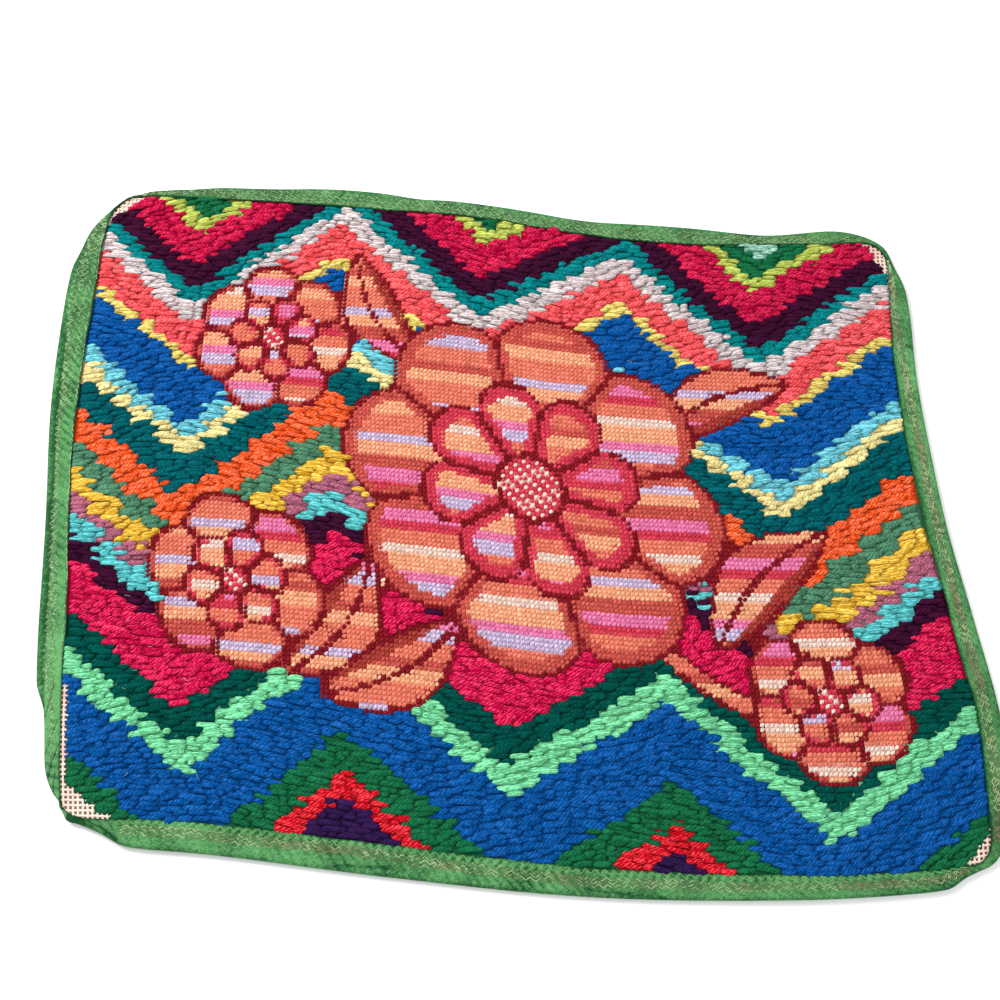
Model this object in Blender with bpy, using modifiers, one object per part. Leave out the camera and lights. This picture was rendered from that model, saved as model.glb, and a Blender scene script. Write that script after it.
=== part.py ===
"""Needlepoint canvas panel: a worked canvas, bound all round with a folded bias tape, lying flat.

Metres, +Z up. The panel lies on the plane z = 0, its long side along X and its near edge towards -Y.
Both pieces are laid out on the canvas's own lattice of holes, on which the worked area is a true rectangle
with its near left hole at u = v = 0. lay() carries a place on the lattice to where it lies on the table,
because a canvas worked in slanting stitches is pulled out of square and its edges bow.
"""
import math

import bmesh
import bpy
from mathutils import Vector

# The canvas: ten holes to the inch, and as many worked each way as the panel shows.
HOLE_PITCH = 0.00254
HOLE_COLUMNS = 190
HOLE_ROWS = 145
WORKED_WIDTH = HOLE_COLUMNS * HOLE_PITCH
WORKED_DEPTH = HOLE_ROWS * HOLE_PITCH

# Thicknesses. Folded tape, canvas and tape again, a seat gap apart, are as thick as canvas with wool
# on both faces, so the panel is one thickness all over.
BARE_CANVAS = 0.0010
TAPE = 0.0010
SEAT_GAP = 0.0003
PANEL = TAPE + SEAT_GAP + BARE_CANVAS + SEAT_GAP + TAPE
CANVAS_LEVEL = PANEL / 2
FOLD_RADIUS = (PANEL - TAPE) / 2

# The canvas stops short of the tape's outer fold. Its wool starts just inside the tape's inner edge
# and reaches its full thickness over a shoulder.
EDGE_TO_FOLD = FOLD_RADIUS + 0.0002
TAPE_TO_WOOL = 0.0006
WOOL_SHOULDER = 0.0016

# The tape's leaf on the underside stops short of the leaf on the face, by at most a share of the face.
LEAF_SETBACK = 0.0015
NARROWEST_FACE = 0.0028
NARROWEST_ROUND = 0.0070

# A lifted stretch of edge comes down to the table this far in from the tape's outer fold.
LIFT_REACH = 0.075
WIDEST_FACE = 0.018

# Corners of the worked area as it lies: its place, the radius of the tape's outer rounding, and the
# legs along u and v of the bare triangle of canvas that is left unworked in the corner.
CORNER_COLUMNS = ("x", "y", "round", "bare_u", "bare_v")
CORNERS = {
    ("near", "left"): (-0.2285, -0.1701, 0.042, 0.026, 0.018),
    ("near", "right"): (0.2485, -0.1921, 0.036, 0.018, 0.018),
    ("far", "right"): (0.2345, 0.1684, 0.046, 0.018, 0.024),
    ("far", "left"): (-0.2485, 0.2014, 0.057, 0.026, 0.024),
}

# Sides, a row for each section across the edge: the share of the side's length, from its left or near
# end, how far the side bows out of straight, how wide the tape's face is, how much looser than the
# canvas edge its fold is, and how far the edge is lifted off the table.
SIDE_COLUMNS = ("along", "bow", "face", "loose", "lift")
SIDES = {
    "near": (
        (0.00, 0.0000, 0.0125, 0.0000, 0.0010),
        (0.15, -0.0012, 0.0150, 0.0006, 0.0004),
        (0.35, 0.0050, 0.0155, 0.0008, 0.0000),
        (0.57, 0.0115, 0.0140, 0.0004, 0.0000),
        (0.78, 0.0105, 0.0120, 0.0003, 0.0008),
        (0.92, 0.0058, 0.0102, 0.0000, 0.0004),
        (1.00, 0.0000, 0.0090, 0.0000, 0.0000),
    ),
    "right": (
        (0.00, 0.0000, 0.0105, 0.0000, 0.0000),
        (0.19, 0.0056, 0.0130, 0.0003, 0.0000),
        (0.36, 0.0020, 0.0125, 0.0002, 0.0006),
        (0.52, -0.0048, 0.0130, 0.0003, 0.0016),
        (0.70, -0.0072, 0.0136, 0.0008, 0.0008),
        (0.87, -0.0040, 0.0126, 0.0010, 0.0010),
        (1.00, 0.0000, 0.0106, 0.0000, 0.0030),
    ),
    "far": (
        (0.00, 0.0000, 0.0066, 0.0000, 0.0034),
        (0.12, 0.0042, 0.0070, 0.0000, 0.0014),
        (0.28, 0.0060, 0.0106, 0.0005, 0.0000),
        (0.44, 0.0042, 0.0086, 0.0003, 0.0008),
        (0.60, -0.0044, 0.0106, 0.0004, 0.0018),
        (0.78, -0.0068, 0.0100, 0.0003, 0.0006),
        (0.92, -0.0022, 0.0090, 0.0002, 0.0012),
        (1.00, 0.0000, 0.0095, 0.0000, 0.0030),
    ),
    "left": (
        (0.00, 0.0000, 0.0088, 0.0000, 0.0010),
        (0.11, 0.0034, 0.0082, 0.0000, 0.0006),
        (0.17, 0.0044, 0.0090, 0.0002, 0.0008),
        (0.21, 0.0050, 0.0134, 0.0032, 0.0012),
        (0.44, 0.0078, 0.0126, 0.0028, 0.0020),
        (0.62, 0.0092, 0.0136, 0.0032, 0.0022),
        (0.80, 0.0050, 0.0150, 0.0028, 0.0016),
        (0.92, 0.0008, 0.0136, 0.0008, 0.0022),
        (1.00, 0.0000, 0.0120, 0.0000, 0.0034),
    ),
}

# Meshing. The canvas's grid has lines close together at its edge and wide apart inside, and the tape
# has a section at each even share of a side, starting at the near left corner and going anticlockwise.
CORNER_LINES = (0.009, 0.018, 0.028)
MARGIN_LINES = 2
CANVAS_CELLS = {"u": 34, "v": 26}
TAPE_SECTIONS = (("near", True, 42), ("right", True, 34), ("far", False, 42), ("left", False, 34))
FOLD_POINTS = 5

# On a rounding, the point at 45 degrees lies this share of the radius in from both sides.
CORNER_CUT = 1 - math.sqrt(0.5)

# Each material's colour and roughness.
WOOL = ((0.560, 0.130, 0.140), 0.85)
COTTON_TAPE = ((0.075, 0.350, 0.085), 0.90)


def corner(name, column):
    return CORNERS[name][CORNER_COLUMNS.index(column)]


def side(name, along, column):
    """One column of a side's rows at a share of its length, on a smooth curve through the rows."""
    rows = SIDES[name]
    pick = SIDE_COLUMNS.index(column)
    along = min(max(along, 0.0), 1.0)
    last = len(rows) - 1
    at = max(i for i in range(last) if rows[i][0] <= along)
    before, start, end, after = (rows[min(max(i, 0), last)] for i in (at - 1, at, at + 1, at + 2))
    length = end[0] - start[0]
    leave = (end[pick] - before[pick]) / (end[0] - before[0]) * length
    arrive = (after[pick] - start[pick]) / (after[0] - start[0]) * length
    share = (along - start[0]) / length
    return ((2 * share ** 3 - 3 * share ** 2 + 1) * start[pick]
            + (share ** 3 - 2 * share ** 2 + share) * leave
            + (3 * share ** 2 - 2 * share ** 3) * end[pick]
            + (share ** 3 - share ** 2) * arrive)


def lay(u, v):
    """Where a place on the lattice lies on the table: a skewed rectangle whose sides bow."""
    s = u / WORKED_WIDTH
    t = v / WORKED_DEPTH
    place = Vector((0.0, 0.0))
    for name in CORNERS:
        weight = (t if name[0] == "far" else 1 - t) * (s if name[1] == "right" else 1 - s)
        place += weight * Vector((corner(name, "x"), corner(name, "y")))
    place.x += s * side("right", t, "bow") - (1 - s) * side("left", t, "bow")
    place.y += t * side("far", s, "bow") - (1 - t) * side("near", s, "bow")
    return place


def lift(u, v):
    """How far a place is off the table: each side lifts as its rows say, and that fades out inwards."""
    s = u / WORKED_WIDTH
    t = v / WORKED_DEPTH
    inwards = {"near": v, "right": WORKED_WIDTH - u, "far": WORKED_DEPTH - v, "left": u}
    fade = {name: min(max(1 - (inwards[name] + WIDEST_FACE) / LIFT_REACH, 0.0), 1.0) ** 2 for name in SIDES}
    height = sum(side(name, s if name in ("near", "far") else t, "lift") * fade[name] for name in SIDES)
    for name in CORNERS:
        end = 1.0 if name[1] == "right" else 0.0
        height -= side(name[0], end, "lift") * fade[name[0]] * fade[name[1]]
    return max(height, 0.0)


def face_at(name):
    """Width of the tape's face at a sharp corner, along u and along v."""
    along_u = 1.0 if name[1] == "right" else 0.0
    along_v = 1.0 if name[0] == "far" else 0.0
    return side(name[1], along_v, "face"), side(name[0], along_u, "face")


def edge_point(name, along, out):
    """A lattice place a distance out from the worked area, its side stretched to meet its neighbours."""
    ends = ("left", "right") if name in ("near", "far") else ("near", "far")
    end = 1.0 if name in ("far", "right") else 0.0
    start, finish = (side(neighbour, end, "face") if out else 0.0 for neighbour in ends)
    stretch = finish * along - start * (1 - along)
    if name in ("near", "far"):
        return along * WORKED_WIDTH + stretch, -out if name == "near" else WORKED_DEPTH + out
    return -out if name == "left" else WORKED_WIDTH + out, along * WORKED_DEPTH + stretch


def round_off(u, v, rounding):
    """Move a place that is in a corner's square onto its rounding, and leave any other where it is.

    rounding holds, by corner, how far the sharp corner is from the worked area's, and the radii.
    """
    for name, ((out_u, out_v), (radius_u, radius_v)) in rounding.items():
        right, far = name[1] == "right", name[0] == "far"
        into_u = (u - WORKED_WIDTH if right else -u) - out_u + radius_u
        into_v = (v - WORKED_DEPTH if far else -v) - out_v + radius_v
        if into_u > 0 and into_v > 0:
            p = min(into_u / radius_u, 1.0)
            q = min(into_v / radius_v, 1.0)
            back_u = radius_u * p * (1 - math.sqrt(1 - q * q / 2))
            back_v = radius_v * q * (1 - math.sqrt(1 - p * p / 2))
            return u - back_u if right else u + back_u, v - back_v if far else v + back_v
    return u, v


def outer_rounding(inset):
    """Rounding of the tape's outer fold, or of a line inside it."""
    rounding = {}
    for name in CORNERS:
        face_u, face_v = face_at(name)
        radius = corner(name, "round") - inset
        rounding[name] = ((face_u - inset, face_v - inset), (radius, radius))
    return rounding


def inner_rounding():
    """Rounding of the tape's inner edge, where the face is at its narrowest."""
    rounding = {}
    for name in CORNERS:
        cut = corner(name, "round") * CORNER_CUT + NARROWEST_FACE
        radii = tuple(max((cut - face) / CORNER_CUT, NARROWEST_ROUND) for face in face_at(name))
        rounding[name] = ((0.0, 0.0), radii)
    return rounding


def grid_index(coordinate, segments):
    """Which line of a unit grid a coordinate is on."""
    return round((coordinate + 0.5) * segments)


def material(name, colour, roughness):
    made = bpy.data.materials.new(name)
    made.use_nodes = True
    made.diffuse_color = (*colour, 1.0)
    shader = made.node_tree.nodes["Principled BSDF"]
    shader.inputs["Base Color"].default_value = (*colour, 1.0)
    shader.inputs["Roughness"].default_value = roughness
    shader.inputs["Metallic"].default_value = 0.0
    return made


def finish_sheet(name, sheet, thickness, finish, collection):
    """Make an object of an open sheet, and give the sheet its thickness, half on either side."""
    mesh = bpy.data.meshes.new(name)
    sheet.to_mesh(mesh)
    sheet.free()
    mesh.materials.append(finish)
    piece = bpy.data.objects.new(name, mesh)
    collection.objects.link(piece)
    wall = piece.modifiers.new("thickness", "SOLIDIFY")
    wall.thickness = thickness
    wall.offset = 0.0
    return piece


def is_bare(u, v):
    """True in the four corners that the needleworker left unworked."""
    for name in CORNERS:
        from_u = WORKED_WIDTH - u if name[1] == "right" else u
        from_v = WORKED_DEPTH - v if name[0] == "far" else v
        if from_u / corner(name, "bare_u") + from_v / corner(name, "bare_v") < 1:
            return True
    return False


def grid_lines(length, cells):
    """Lattice lines across the canvas one way, from 0 to length: the two lines of each shoulder, the
    close lines by the corners, and even cells between. None stands for the canvas's own edge."""
    shoulder = (TAPE_TO_WOOL, TAPE_TO_WOOL + WOOL_SHOULDER)
    near = [*shoulder, *CORNER_LINES]
    even = (length - 2 * CORNER_LINES[-1]) / cells
    middle = [CORNER_LINES[-1] + even * i for i in range(1, cells)]
    far = [length - line for line in reversed(near)]
    return [None, *near, *middle, *far, None]


def canvas_place(u, v, ends):
    """Fill in a None: a place on the canvas's edge, which follows the tape's fold from inside."""
    s = ends["u"] if u is None else u / WORKED_WIDTH
    t = ends["v"] if v is None else v / WORKED_DEPTH
    if u is None:
        name = "right" if s else "left"
        out = side(name, t, "face") - side(name, t, "loose") - EDGE_TO_FOLD
        u = WORKED_WIDTH + out if s else -out
    if v is None:
        name = "far" if t else "near"
        out = side(name, s, "face") - side(name, s, "loose") - EDGE_TO_FOLD
        v = WORKED_DEPTH + out if t else -out
    return u, v


def make_canvas(collection):
    """The canvas: one sheet over the whole lattice, thin where it is bare and thick where it is worked."""
    lines_u = grid_lines(WORKED_WIDTH, CANVAS_CELLS["u"])
    lines_v = grid_lines(WORKED_DEPTH, CANVAS_CELLS["v"])
    last_u, last_v = len(lines_u) - 1, len(lines_v) - 1
    rounding = outer_rounding(EDGE_TO_FOLD)
    sheet = bmesh.new()
    bmesh.ops.create_grid(sheet, x_segments=last_u, y_segments=last_v, size=0.5)
    thickness = sheet.verts.layers.deform.verify()
    for point in sheet.verts:
        i = grid_index(point.co.x, last_u)
        j = grid_index(point.co.y, last_v)
        ends = {"u": 1.0 if i else 0.0, "v": 1.0 if j else 0.0}
        u, v = round_off(*canvas_place(lines_u[i], lines_v[j], ends), rounding)
        in_margin = min(i, last_u - i, j, last_v - j) < MARGIN_LINES
        point[thickness][0] = BARE_CANVAS / PANEL if in_margin or is_bare(u, v) else 1.0
        point.co = (*lay(u, v), CANVAS_LEVEL + lift(u, v))
    canvas = finish_sheet("canvas", sheet, PANEL, material("worked wool", *WOOL), collection)
    canvas.vertex_groups.new(name="wool")
    canvas.modifiers["thickness"].vertex_group = "wool"


def tape_section(width, loose):
    """Section across the folded tape: share of the way from its inner edge to its fold, and height."""
    turn = max(width - FOLD_RADIUS - loose, 0.0)
    section = [(0.0, FOLD_RADIUS)]
    for i in range(FOLD_POINTS + 2):
        angle = math.pi / 2 - math.pi * i / (FOLD_POINTS + 1)
        out = turn + (width - turn) * math.cos(angle)
        section.append((out / width, FOLD_RADIUS * math.sin(angle)))
    section.append((min(LEAF_SETBACK, turn / 2) / width, -FOLD_RADIUS))
    return section


def tape_stations():
    """Every section of the tape round the panel: the side that it is on and its share of the way."""
    return [(name, i / count if forwards else 1 - i / count)
            for name, forwards, count in TAPE_SECTIONS for i in range(count)]


def make_binding(collection):
    """The bias tape: a strip of grid, folded round the canvas edge and joined end to end."""
    outer_line = outer_rounding(0.0)
    inner_line = inner_rounding()
    stations = tape_stations()
    around = len(stations)
    across = FOLD_POINTS + 3
    strip = bmesh.new()
    bmesh.ops.create_grid(strip, x_segments=around, y_segments=across, size=0.5)
    for point in strip.verts:
        name, along = stations[grid_index(point.co.x, around) % around]
        outer_u, outer_v = round_off(*edge_point(name, along, side(name, along, "face")), outer_line)
        inner_u, inner_v = round_off(*edge_point(name, along, 0.0), inner_line)
        width = math.dist((outer_u, outer_v), (inner_u, inner_v))
        share, height = tape_section(width, side(name, along, "loose"))[grid_index(point.co.y, across)]
        u = inner_u + (outer_u - inner_u) * share
        v = inner_v + (outer_v - inner_v) * share
        point.co = (*lay(u, v), CANVAS_LEVEL + height + lift(u, v))
    bmesh.ops.remove_doubles(strip, verts=strip.verts, dist=0.00001)
    bmesh.ops.recalc_face_normals(strip, faces=strip.faces)
    finish_sheet("binding", strip, TAPE, material("green cotton tape", *COTTON_TAPE), collection)


def main():
    for old in list(bpy.data.objects):
        bpy.data.objects.remove(old, do_unlink=True)
    panel = bpy.data.collections.new("needlepoint canvas panel")
    bpy.context.scene.collection.children.link(panel)
    make_canvas(panel)
    make_binding(panel)


main()
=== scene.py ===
# %% [markdown]
# # A needlepoint panel, stitch by stitch
# This lesson dresses a plain model of a needlepoint panel: an open canvas of stiff cotton threads, filled
# with wool stitches and bound all round with a folded green tape. The plain model has the right size and
# outline. Everything that makes it look worked by hand is made here: almost fifteen thousand single
# stitches, the bare canvas in the corners, the creased tape and the crooked sewing that holds it.

# %% Load the plain model as the frame
import math

import bmesh
import bpy
import numpy as np
from mathutils import Matrix


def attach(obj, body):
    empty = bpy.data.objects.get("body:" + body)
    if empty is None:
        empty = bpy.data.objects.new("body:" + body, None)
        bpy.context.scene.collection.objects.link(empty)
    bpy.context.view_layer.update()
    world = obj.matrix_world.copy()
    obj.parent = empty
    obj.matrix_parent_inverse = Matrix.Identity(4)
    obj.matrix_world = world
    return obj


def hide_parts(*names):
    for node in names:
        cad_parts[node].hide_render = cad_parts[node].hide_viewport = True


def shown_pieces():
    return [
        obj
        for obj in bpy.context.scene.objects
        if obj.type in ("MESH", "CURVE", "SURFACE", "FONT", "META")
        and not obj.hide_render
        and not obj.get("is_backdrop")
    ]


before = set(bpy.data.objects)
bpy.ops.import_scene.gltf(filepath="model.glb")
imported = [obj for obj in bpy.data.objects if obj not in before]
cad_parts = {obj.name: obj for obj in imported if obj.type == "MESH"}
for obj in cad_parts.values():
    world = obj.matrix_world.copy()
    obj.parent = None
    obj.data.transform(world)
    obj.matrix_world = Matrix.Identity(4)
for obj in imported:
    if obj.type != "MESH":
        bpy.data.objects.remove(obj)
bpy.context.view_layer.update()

rng = np.random.default_rng(1976)

# %% [markdown]
# ## The camera
# The panel is seen from above its near edge, down and a little forward, as someone at a table sees it.
# A camera like that could be aimed with a Track To constraint. Here it is turned by one angle instead,
# because the view is level from side to side and an angle is the fact that a reader wants to know.

# %% Camera
CAMERA_PLACE = (-0.0022, -0.1906, 0.5804)
CAMERA_TIP = math.radians(18.5)
CAMERA_LENS = 38.7

camera_data = bpy.data.cameras.new("camera")
camera_data.lens = CAMERA_LENS
camera_data.sensor_width = 36.0
camera = bpy.data.objects.new("camera", camera_data)
camera.location = CAMERA_PLACE
camera.rotation_euler = (CAMERA_TIP, 0.0, 0.0)
bpy.context.scene.collection.objects.link(camera)
bpy.context.scene.camera = camera
print("camera", round(math.degrees(CAMERA_TIP), 1), "degrees off straight down")

# %% [markdown]
# ## The lattice of holes
# A needleworker counts holes, so every place on the panel is given as (u, v) on the canvas's own lattice,
# in metres from the near left hole. Thousands of stitches pull a canvas out of square, and its edges bow.
# One function, `lay`, carries any lattice place to where it lies on the table.
#
# A corner's row gives its place, how round the tape's fold is there, the two legs of its unworked
# triangle and how narrow the tape gets. A side's rows give, at shares of its length, how far it bows out,
# how wide the tape's face is, how loose the fold hangs and how far it lifts off the table. The plain
# model is built from the same rows; only the unworked triangles and the narrowest tape are finer here.

# %% Lattice sizes and the table of sides
HOLE_PITCH = 0.00254
HOLE_COLUMNS = 190
HOLE_ROWS = 145
WORKED_WIDTH = HOLE_COLUMNS * HOLE_PITCH
WORKED_DEPTH = HOLE_ROWS * HOLE_PITCH
CANVAS_LEVEL = 0.0018

CORNER_COLUMNS = ("x", "y", "round", "bare_u", "bare_v", "narrowest")
CORNERS = {
    ("near", "left"): (-0.2285, -0.1701, 0.042, 0.026, 0.018, 0.0016),
    ("near", "right"): (0.2485, -0.1921, 0.036, 0.0125, 0.0140, 0.0024),
    ("far", "right"): (0.2345, 0.1684, 0.046, 0.013, 0.023, 0.0015),
    ("far", "left"): (-0.2485, 0.2014, 0.057, 0.025, 0.021, 0.0013),
}
SIDE_COLUMNS = ("along", "bow", "face", "loose", "lift")
SIDES = {
    "near": (
        (0.00, 0.0000, 0.0125, 0.0000, 0.0010),
        (0.15, -0.0012, 0.0150, 0.0006, 0.0004),
        (0.35, 0.0050, 0.0155, 0.0008, 0.0000),
        (0.57, 0.0115, 0.0140, 0.0004, 0.0000),
        (0.78, 0.0105, 0.0120, 0.0003, 0.0008),
        (0.92, 0.0058, 0.0102, 0.0000, 0.0004),
        (1.00, 0.0000, 0.0090, 0.0000, 0.0000),
    ),
    "right": (
        (0.00, 0.0000, 0.0105, 0.0000, 0.0000),
        (0.19, 0.0056, 0.0130, 0.0003, 0.0000),
        (0.36, 0.0020, 0.0125, 0.0002, 0.0006),
        (0.52, -0.0048, 0.0130, 0.0003, 0.0016),
        (0.70, -0.0072, 0.0136, 0.0008, 0.0008),
        (0.87, -0.0040, 0.0126, 0.0010, 0.0010),
        (1.00, 0.0000, 0.0106, 0.0000, 0.0030),
    ),
    "far": (
        (0.00, 0.0000, 0.0066, 0.0000, 0.0034),
        (0.12, 0.0042, 0.0070, 0.0000, 0.0014),
        (0.28, 0.0060, 0.0106, 0.0005, 0.0000),
        (0.44, 0.0042, 0.0086, 0.0003, 0.0008),
        (0.60, -0.0044, 0.0106, 0.0004, 0.0018),
        (0.78, -0.0068, 0.0100, 0.0003, 0.0006),
        (0.92, -0.0022, 0.0090, 0.0002, 0.0012),
        (1.00, 0.0000, 0.0095, 0.0000, 0.0030),
    ),
    "left": (
        (0.00, 0.0000, 0.0088, 0.0000, 0.0010),
        (0.11, 0.0034, 0.0082, 0.0000, 0.0006),
        (0.17, 0.0044, 0.0090, 0.0002, 0.0008),
        (0.21, 0.0050, 0.0134, 0.0032, 0.0012),
        (0.44, 0.0078, 0.0126, 0.0028, 0.0020),
        (0.62, 0.0092, 0.0136, 0.0032, 0.0022),
        (0.80, 0.0050, 0.0150, 0.0028, 0.0016),
        (0.92, 0.0008, 0.0136, 0.0008, 0.0022),
        (1.00, 0.0000, 0.0120, 0.0000, 0.0034),
    ),
}
print("worked area", round(WORKED_WIDTH, 4), "x", round(WORKED_DEPTH, 4), "m")

# %% [markdown]
# The stitches come in thousands, so these functions take whole numpy arrays of places at once. A loop
# over single points would give the same panel, many times slower.

# %% Lattice functions
LIFT_REACH = 0.075
WIDEST_FACE = 0.018


def corner(name, column):
    return CORNERS[name][CORNER_COLUMNS.index(column)]


def side(name, along, column):
    """One column of a side's rows at shares of its length, on a smooth curve through the rows."""
    rows = np.array(SIDES[name])
    pick = SIDE_COLUMNS.index(column)
    along = np.clip(along, 0.0, 1.0)
    last = len(rows) - 1
    at = np.clip(np.searchsorted(rows[:, 0], along, side="right") - 1, 0, last - 1)
    before, start, end, after = (rows[np.clip(at + step, 0, last)] for step in (-1, 0, 1, 2))
    length = end[..., 0] - start[..., 0]
    leave = (end[..., pick] - before[..., pick]) / (end[..., 0] - before[..., 0]) * length
    arrive = (after[..., pick] - start[..., pick]) / (after[..., 0] - start[..., 0]) * length
    share = (along - start[..., 0]) / length
    return ((2 * share ** 3 - 3 * share ** 2 + 1) * start[..., pick]
            + (share ** 3 - 2 * share ** 2 + share) * leave
            + (3 * share ** 2 - 2 * share ** 3) * end[..., pick]
            + (share ** 3 - share ** 2) * arrive)


def lift(u, v):
    """How far places are off the table: each side lifts as its rows say, and that fades out inwards."""
    s, t = u / WORKED_WIDTH, v / WORKED_DEPTH
    inwards = {"near": v, "right": WORKED_WIDTH - u, "far": WORKED_DEPTH - v, "left": u}
    fade = {name: np.clip(1 - (distance + WIDEST_FACE) / LIFT_REACH, 0.0, 1.0) ** 2
            for name, distance in inwards.items()}
    height = sum(side(name, s if name in ("near", "far") else t, "lift") * fade[name] for name in SIDES)
    for name in CORNERS:
        end = 1.0 if name[1] == "right" else 0.0
        height = height - side(name[0], end, "lift") * fade[name[0]] * fade[name[1]]
    return np.maximum(height, 0.0)


def lay(u, v, height):
    """Points in space of lattice places at heights above the table, as rows of x, y and z."""
    u, v, height = np.broadcast_arrays(u, v, height)
    s, t = u / WORKED_WIDTH, v / WORKED_DEPTH
    x = s * side("right", t, "bow") - (1 - s) * side("left", t, "bow")
    y = t * side("far", s, "bow") - (1 - t) * side("near", s, "bow")
    for name in CORNERS:
        weight = (t if name[0] == "far" else 1 - t) * (s if name[1] == "right" else 1 - s)
        x = x + weight * corner(name, "x")
        y = y + weight * corner(name, "y")
    return np.stack([x, y, height + lift(u, v)], -1)


print("far left hole lies at", lay(0.0, WORKED_DEPTH, 0.0).round(4))

# %% [markdown]
# The tape turns the corners on round curves, with its inner edge on a tighter one. A place in a corner's
# square is moved onto its rounding by the usual square-to-disc rule.

# %% Corners and edges
CORNER_CUT = 1 - math.sqrt(0.5)
NARROWEST_ROUND = 0.0070
EDGE_TO_FOLD = 0.0015


def face_at(name):
    """Width of the tape's face at a sharp corner, along u and along v."""
    along_u = 1.0 if name[1] == "right" else 0.0
    along_v = 1.0 if name[0] == "far" else 0.0
    return float(side(name[1], along_v, "face")), float(side(name[0], along_u, "face"))


def outer_rounding(inset):
    """Rounding of the tape's outer fold, or of a line inside it: by corner, how far out its sharp
    corner is, and its two radii."""
    rounding = {}
    for name in CORNERS:
        face_u, face_v = face_at(name)
        radius = corner(name, "round") - inset
        rounding[name] = ((face_u - inset, face_v - inset), (radius, radius))
    return rounding


def inner_rounding():
    """Rounding of the tape's inner edge, where the face is at its narrowest."""
    rounding = {}
    for name in CORNERS:
        cut = corner(name, "round") * CORNER_CUT + corner(name, "narrowest")
        radii = tuple(max((cut - face) / CORNER_CUT, NARROWEST_ROUND) for face in face_at(name))
        rounding[name] = ((0.0, 0.0), radii)
    return rounding


def into_corner(name, u, v, rounding):
    """How far places are past the centre of a corner's rounding, in shares of its radii."""
    (out_u, out_v), (radius_u, radius_v) = rounding[name]
    past_u = u - WORKED_WIDTH if name[1] == "right" else -u
    past_v = v - WORKED_DEPTH if name[0] == "far" else -v
    return (past_u - out_u) / radius_u + 1, (past_v - out_v) / radius_v + 1


def round_off(u, v, rounding):
    """Move places that are in a corner's square onto its rounding, and leave the others."""
    for name, (_, (radius_u, radius_v)) in rounding.items():
        p, q = into_corner(name, u, v, rounding)
        inside = (p > 0) & (q > 0)
        p, q = np.clip(p, 0, 1), np.clip(q, 0, 1)
        back_u = radius_u * p * (1 - np.sqrt(1 - q * q / 2))
        back_v = radius_v * q * (1 - np.sqrt(1 - p * p / 2))
        u = np.where(inside, u - back_u if name[1] == "right" else u + back_u, u)
        v = np.where(inside, v - back_v if name[0] == "far" else v + back_v, v)
    return u, v


OUTER_LINE = outer_rounding(0.0)
CANVAS_LINE = outer_rounding(EDGE_TO_FOLD)
INNER_LINE = inner_rounding()
print("inner radii in mm:",
      {name: [round(radius * 1000, 1) for radius in radii] for name, (_, radii) in INNER_LINE.items()})

# %% [markdown]
# The tape runs between two lines, its inner edge and its outer fold. The sewing pulls the fold in at some
# places and pinches it at the corners, and the inner edge laps a few millimetres over the work on three
# sides. The canvas ends inside the fold all round, so the canvas and its threads read the same lines.

# %% The tape's two lines
SIDE_LENGTHS = {"near": WORKED_WIDTH, "right": WORKED_DEPTH, "far": WORKED_WIDTH, "left": WORKED_DEPTH}
DRAWN_COLUMNS = ("side", "at", "reach", "deep")
DRAWN_IN = (
    ("near", 0.000, 0.010, -0.0020),
    ("near", 0.042, 0.036, 0.0044),
    ("near", 0.962, 0.022, 0.0024),
    ("near", 1.000, 0.012, -0.0021),
    ("right", 0.00, 0.035, -0.0020),
    ("right", 0.42, 0.22, 0.0024),
    ("right", 0.76, 0.12, 0.0016),
    ("right", 0.885, 0.03, 0.0010),
    ("right", 0.95, 0.05, 0.0027),
    ("right", 1.00, 0.03, -0.0022),
    ("far", 0.11, 0.04, 0.0031),
    ("far", 0.23, 0.06, 0.0021),
    ("far", 0.41, 0.03, 0.0014),
    ("far", 0.62, 0.06, 0.0024),
    ("far", 0.80, 0.04, 0.0008),
    ("far", 0.85, 0.05, 0.0040),
    ("far", 1.00, 0.04, -0.0012),
    ("left", 0.90, 0.04, 0.0018),
    ("left", 0.03, 0.03, 0.0010),
    ("left", 0.022, 0.012, 0.0013),
    ("left", 0.000, 0.010, -0.0013),
)
NARROWEST_TAPE = 0.0013
INNER_WANDER = 0.0007
WANDER_FROM = 0.006
LAPS = {
    "near": ((0.00, 0.0000), (0.94, 0.0000), (0.97, 0.0008), (1.00, 0.0000)),
    "right": ((0.00, 0.0000), (0.20, 0.0008), (0.30, 0.0034), (0.38, 0.0032), (0.50, 0.0025),
              (0.70, 0.0010), (0.80, 0.0016), (0.86, 0.0003), (1.00, 0.0000)),
    "far": ((0.00, 0.0000), (0.06, 0.0006), (0.15, 0.0030), (0.20, 0.0026), (0.32, 0.0034),
            (0.42, 0.0030), (0.51, 0.0008), (0.57, 0.0020), (0.67, 0.0034), (0.80, 0.0021),
            (0.93, 0.0018), (1.00, 0.0000)),
    "left": ((0.00, 0.0000), (0.20, 0.0006), (0.25, 0.0019), (0.35, 0.0019), (0.50, 0.0007),
             (0.60, 0.0024), (0.70, 0.0024), (0.78, 0.0032), (0.88, 0.0024), (0.94, 0.0026),
             (1.00, 0.0000)),
}


def rows_of(name, columns, table):
    """The rows of a table that are about one side, each as its values by column."""
    named = (dict(zip(columns, row)) for row in table)
    return [row for row in named if row["side"] == name]


def drawn_in(name, along):
    """How far the tape's outer fold is pulled in, along a side."""
    return sum(row["deep"] * np.exp(-((along - row["at"]) / row["reach"]) ** 2)
               for row in rows_of(name, DRAWN_COLUMNS, DRAWN_IN))


def between(along, places, **beyond):
    """Values on straight lines between a few places, each a share of a side's length and its value."""
    return np.interp(along, *zip(*places), **beyond)


def lap(name, along):
    """How far the tape's inner edge laps over the work, along a side."""
    return between(along, LAPS[name])


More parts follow.
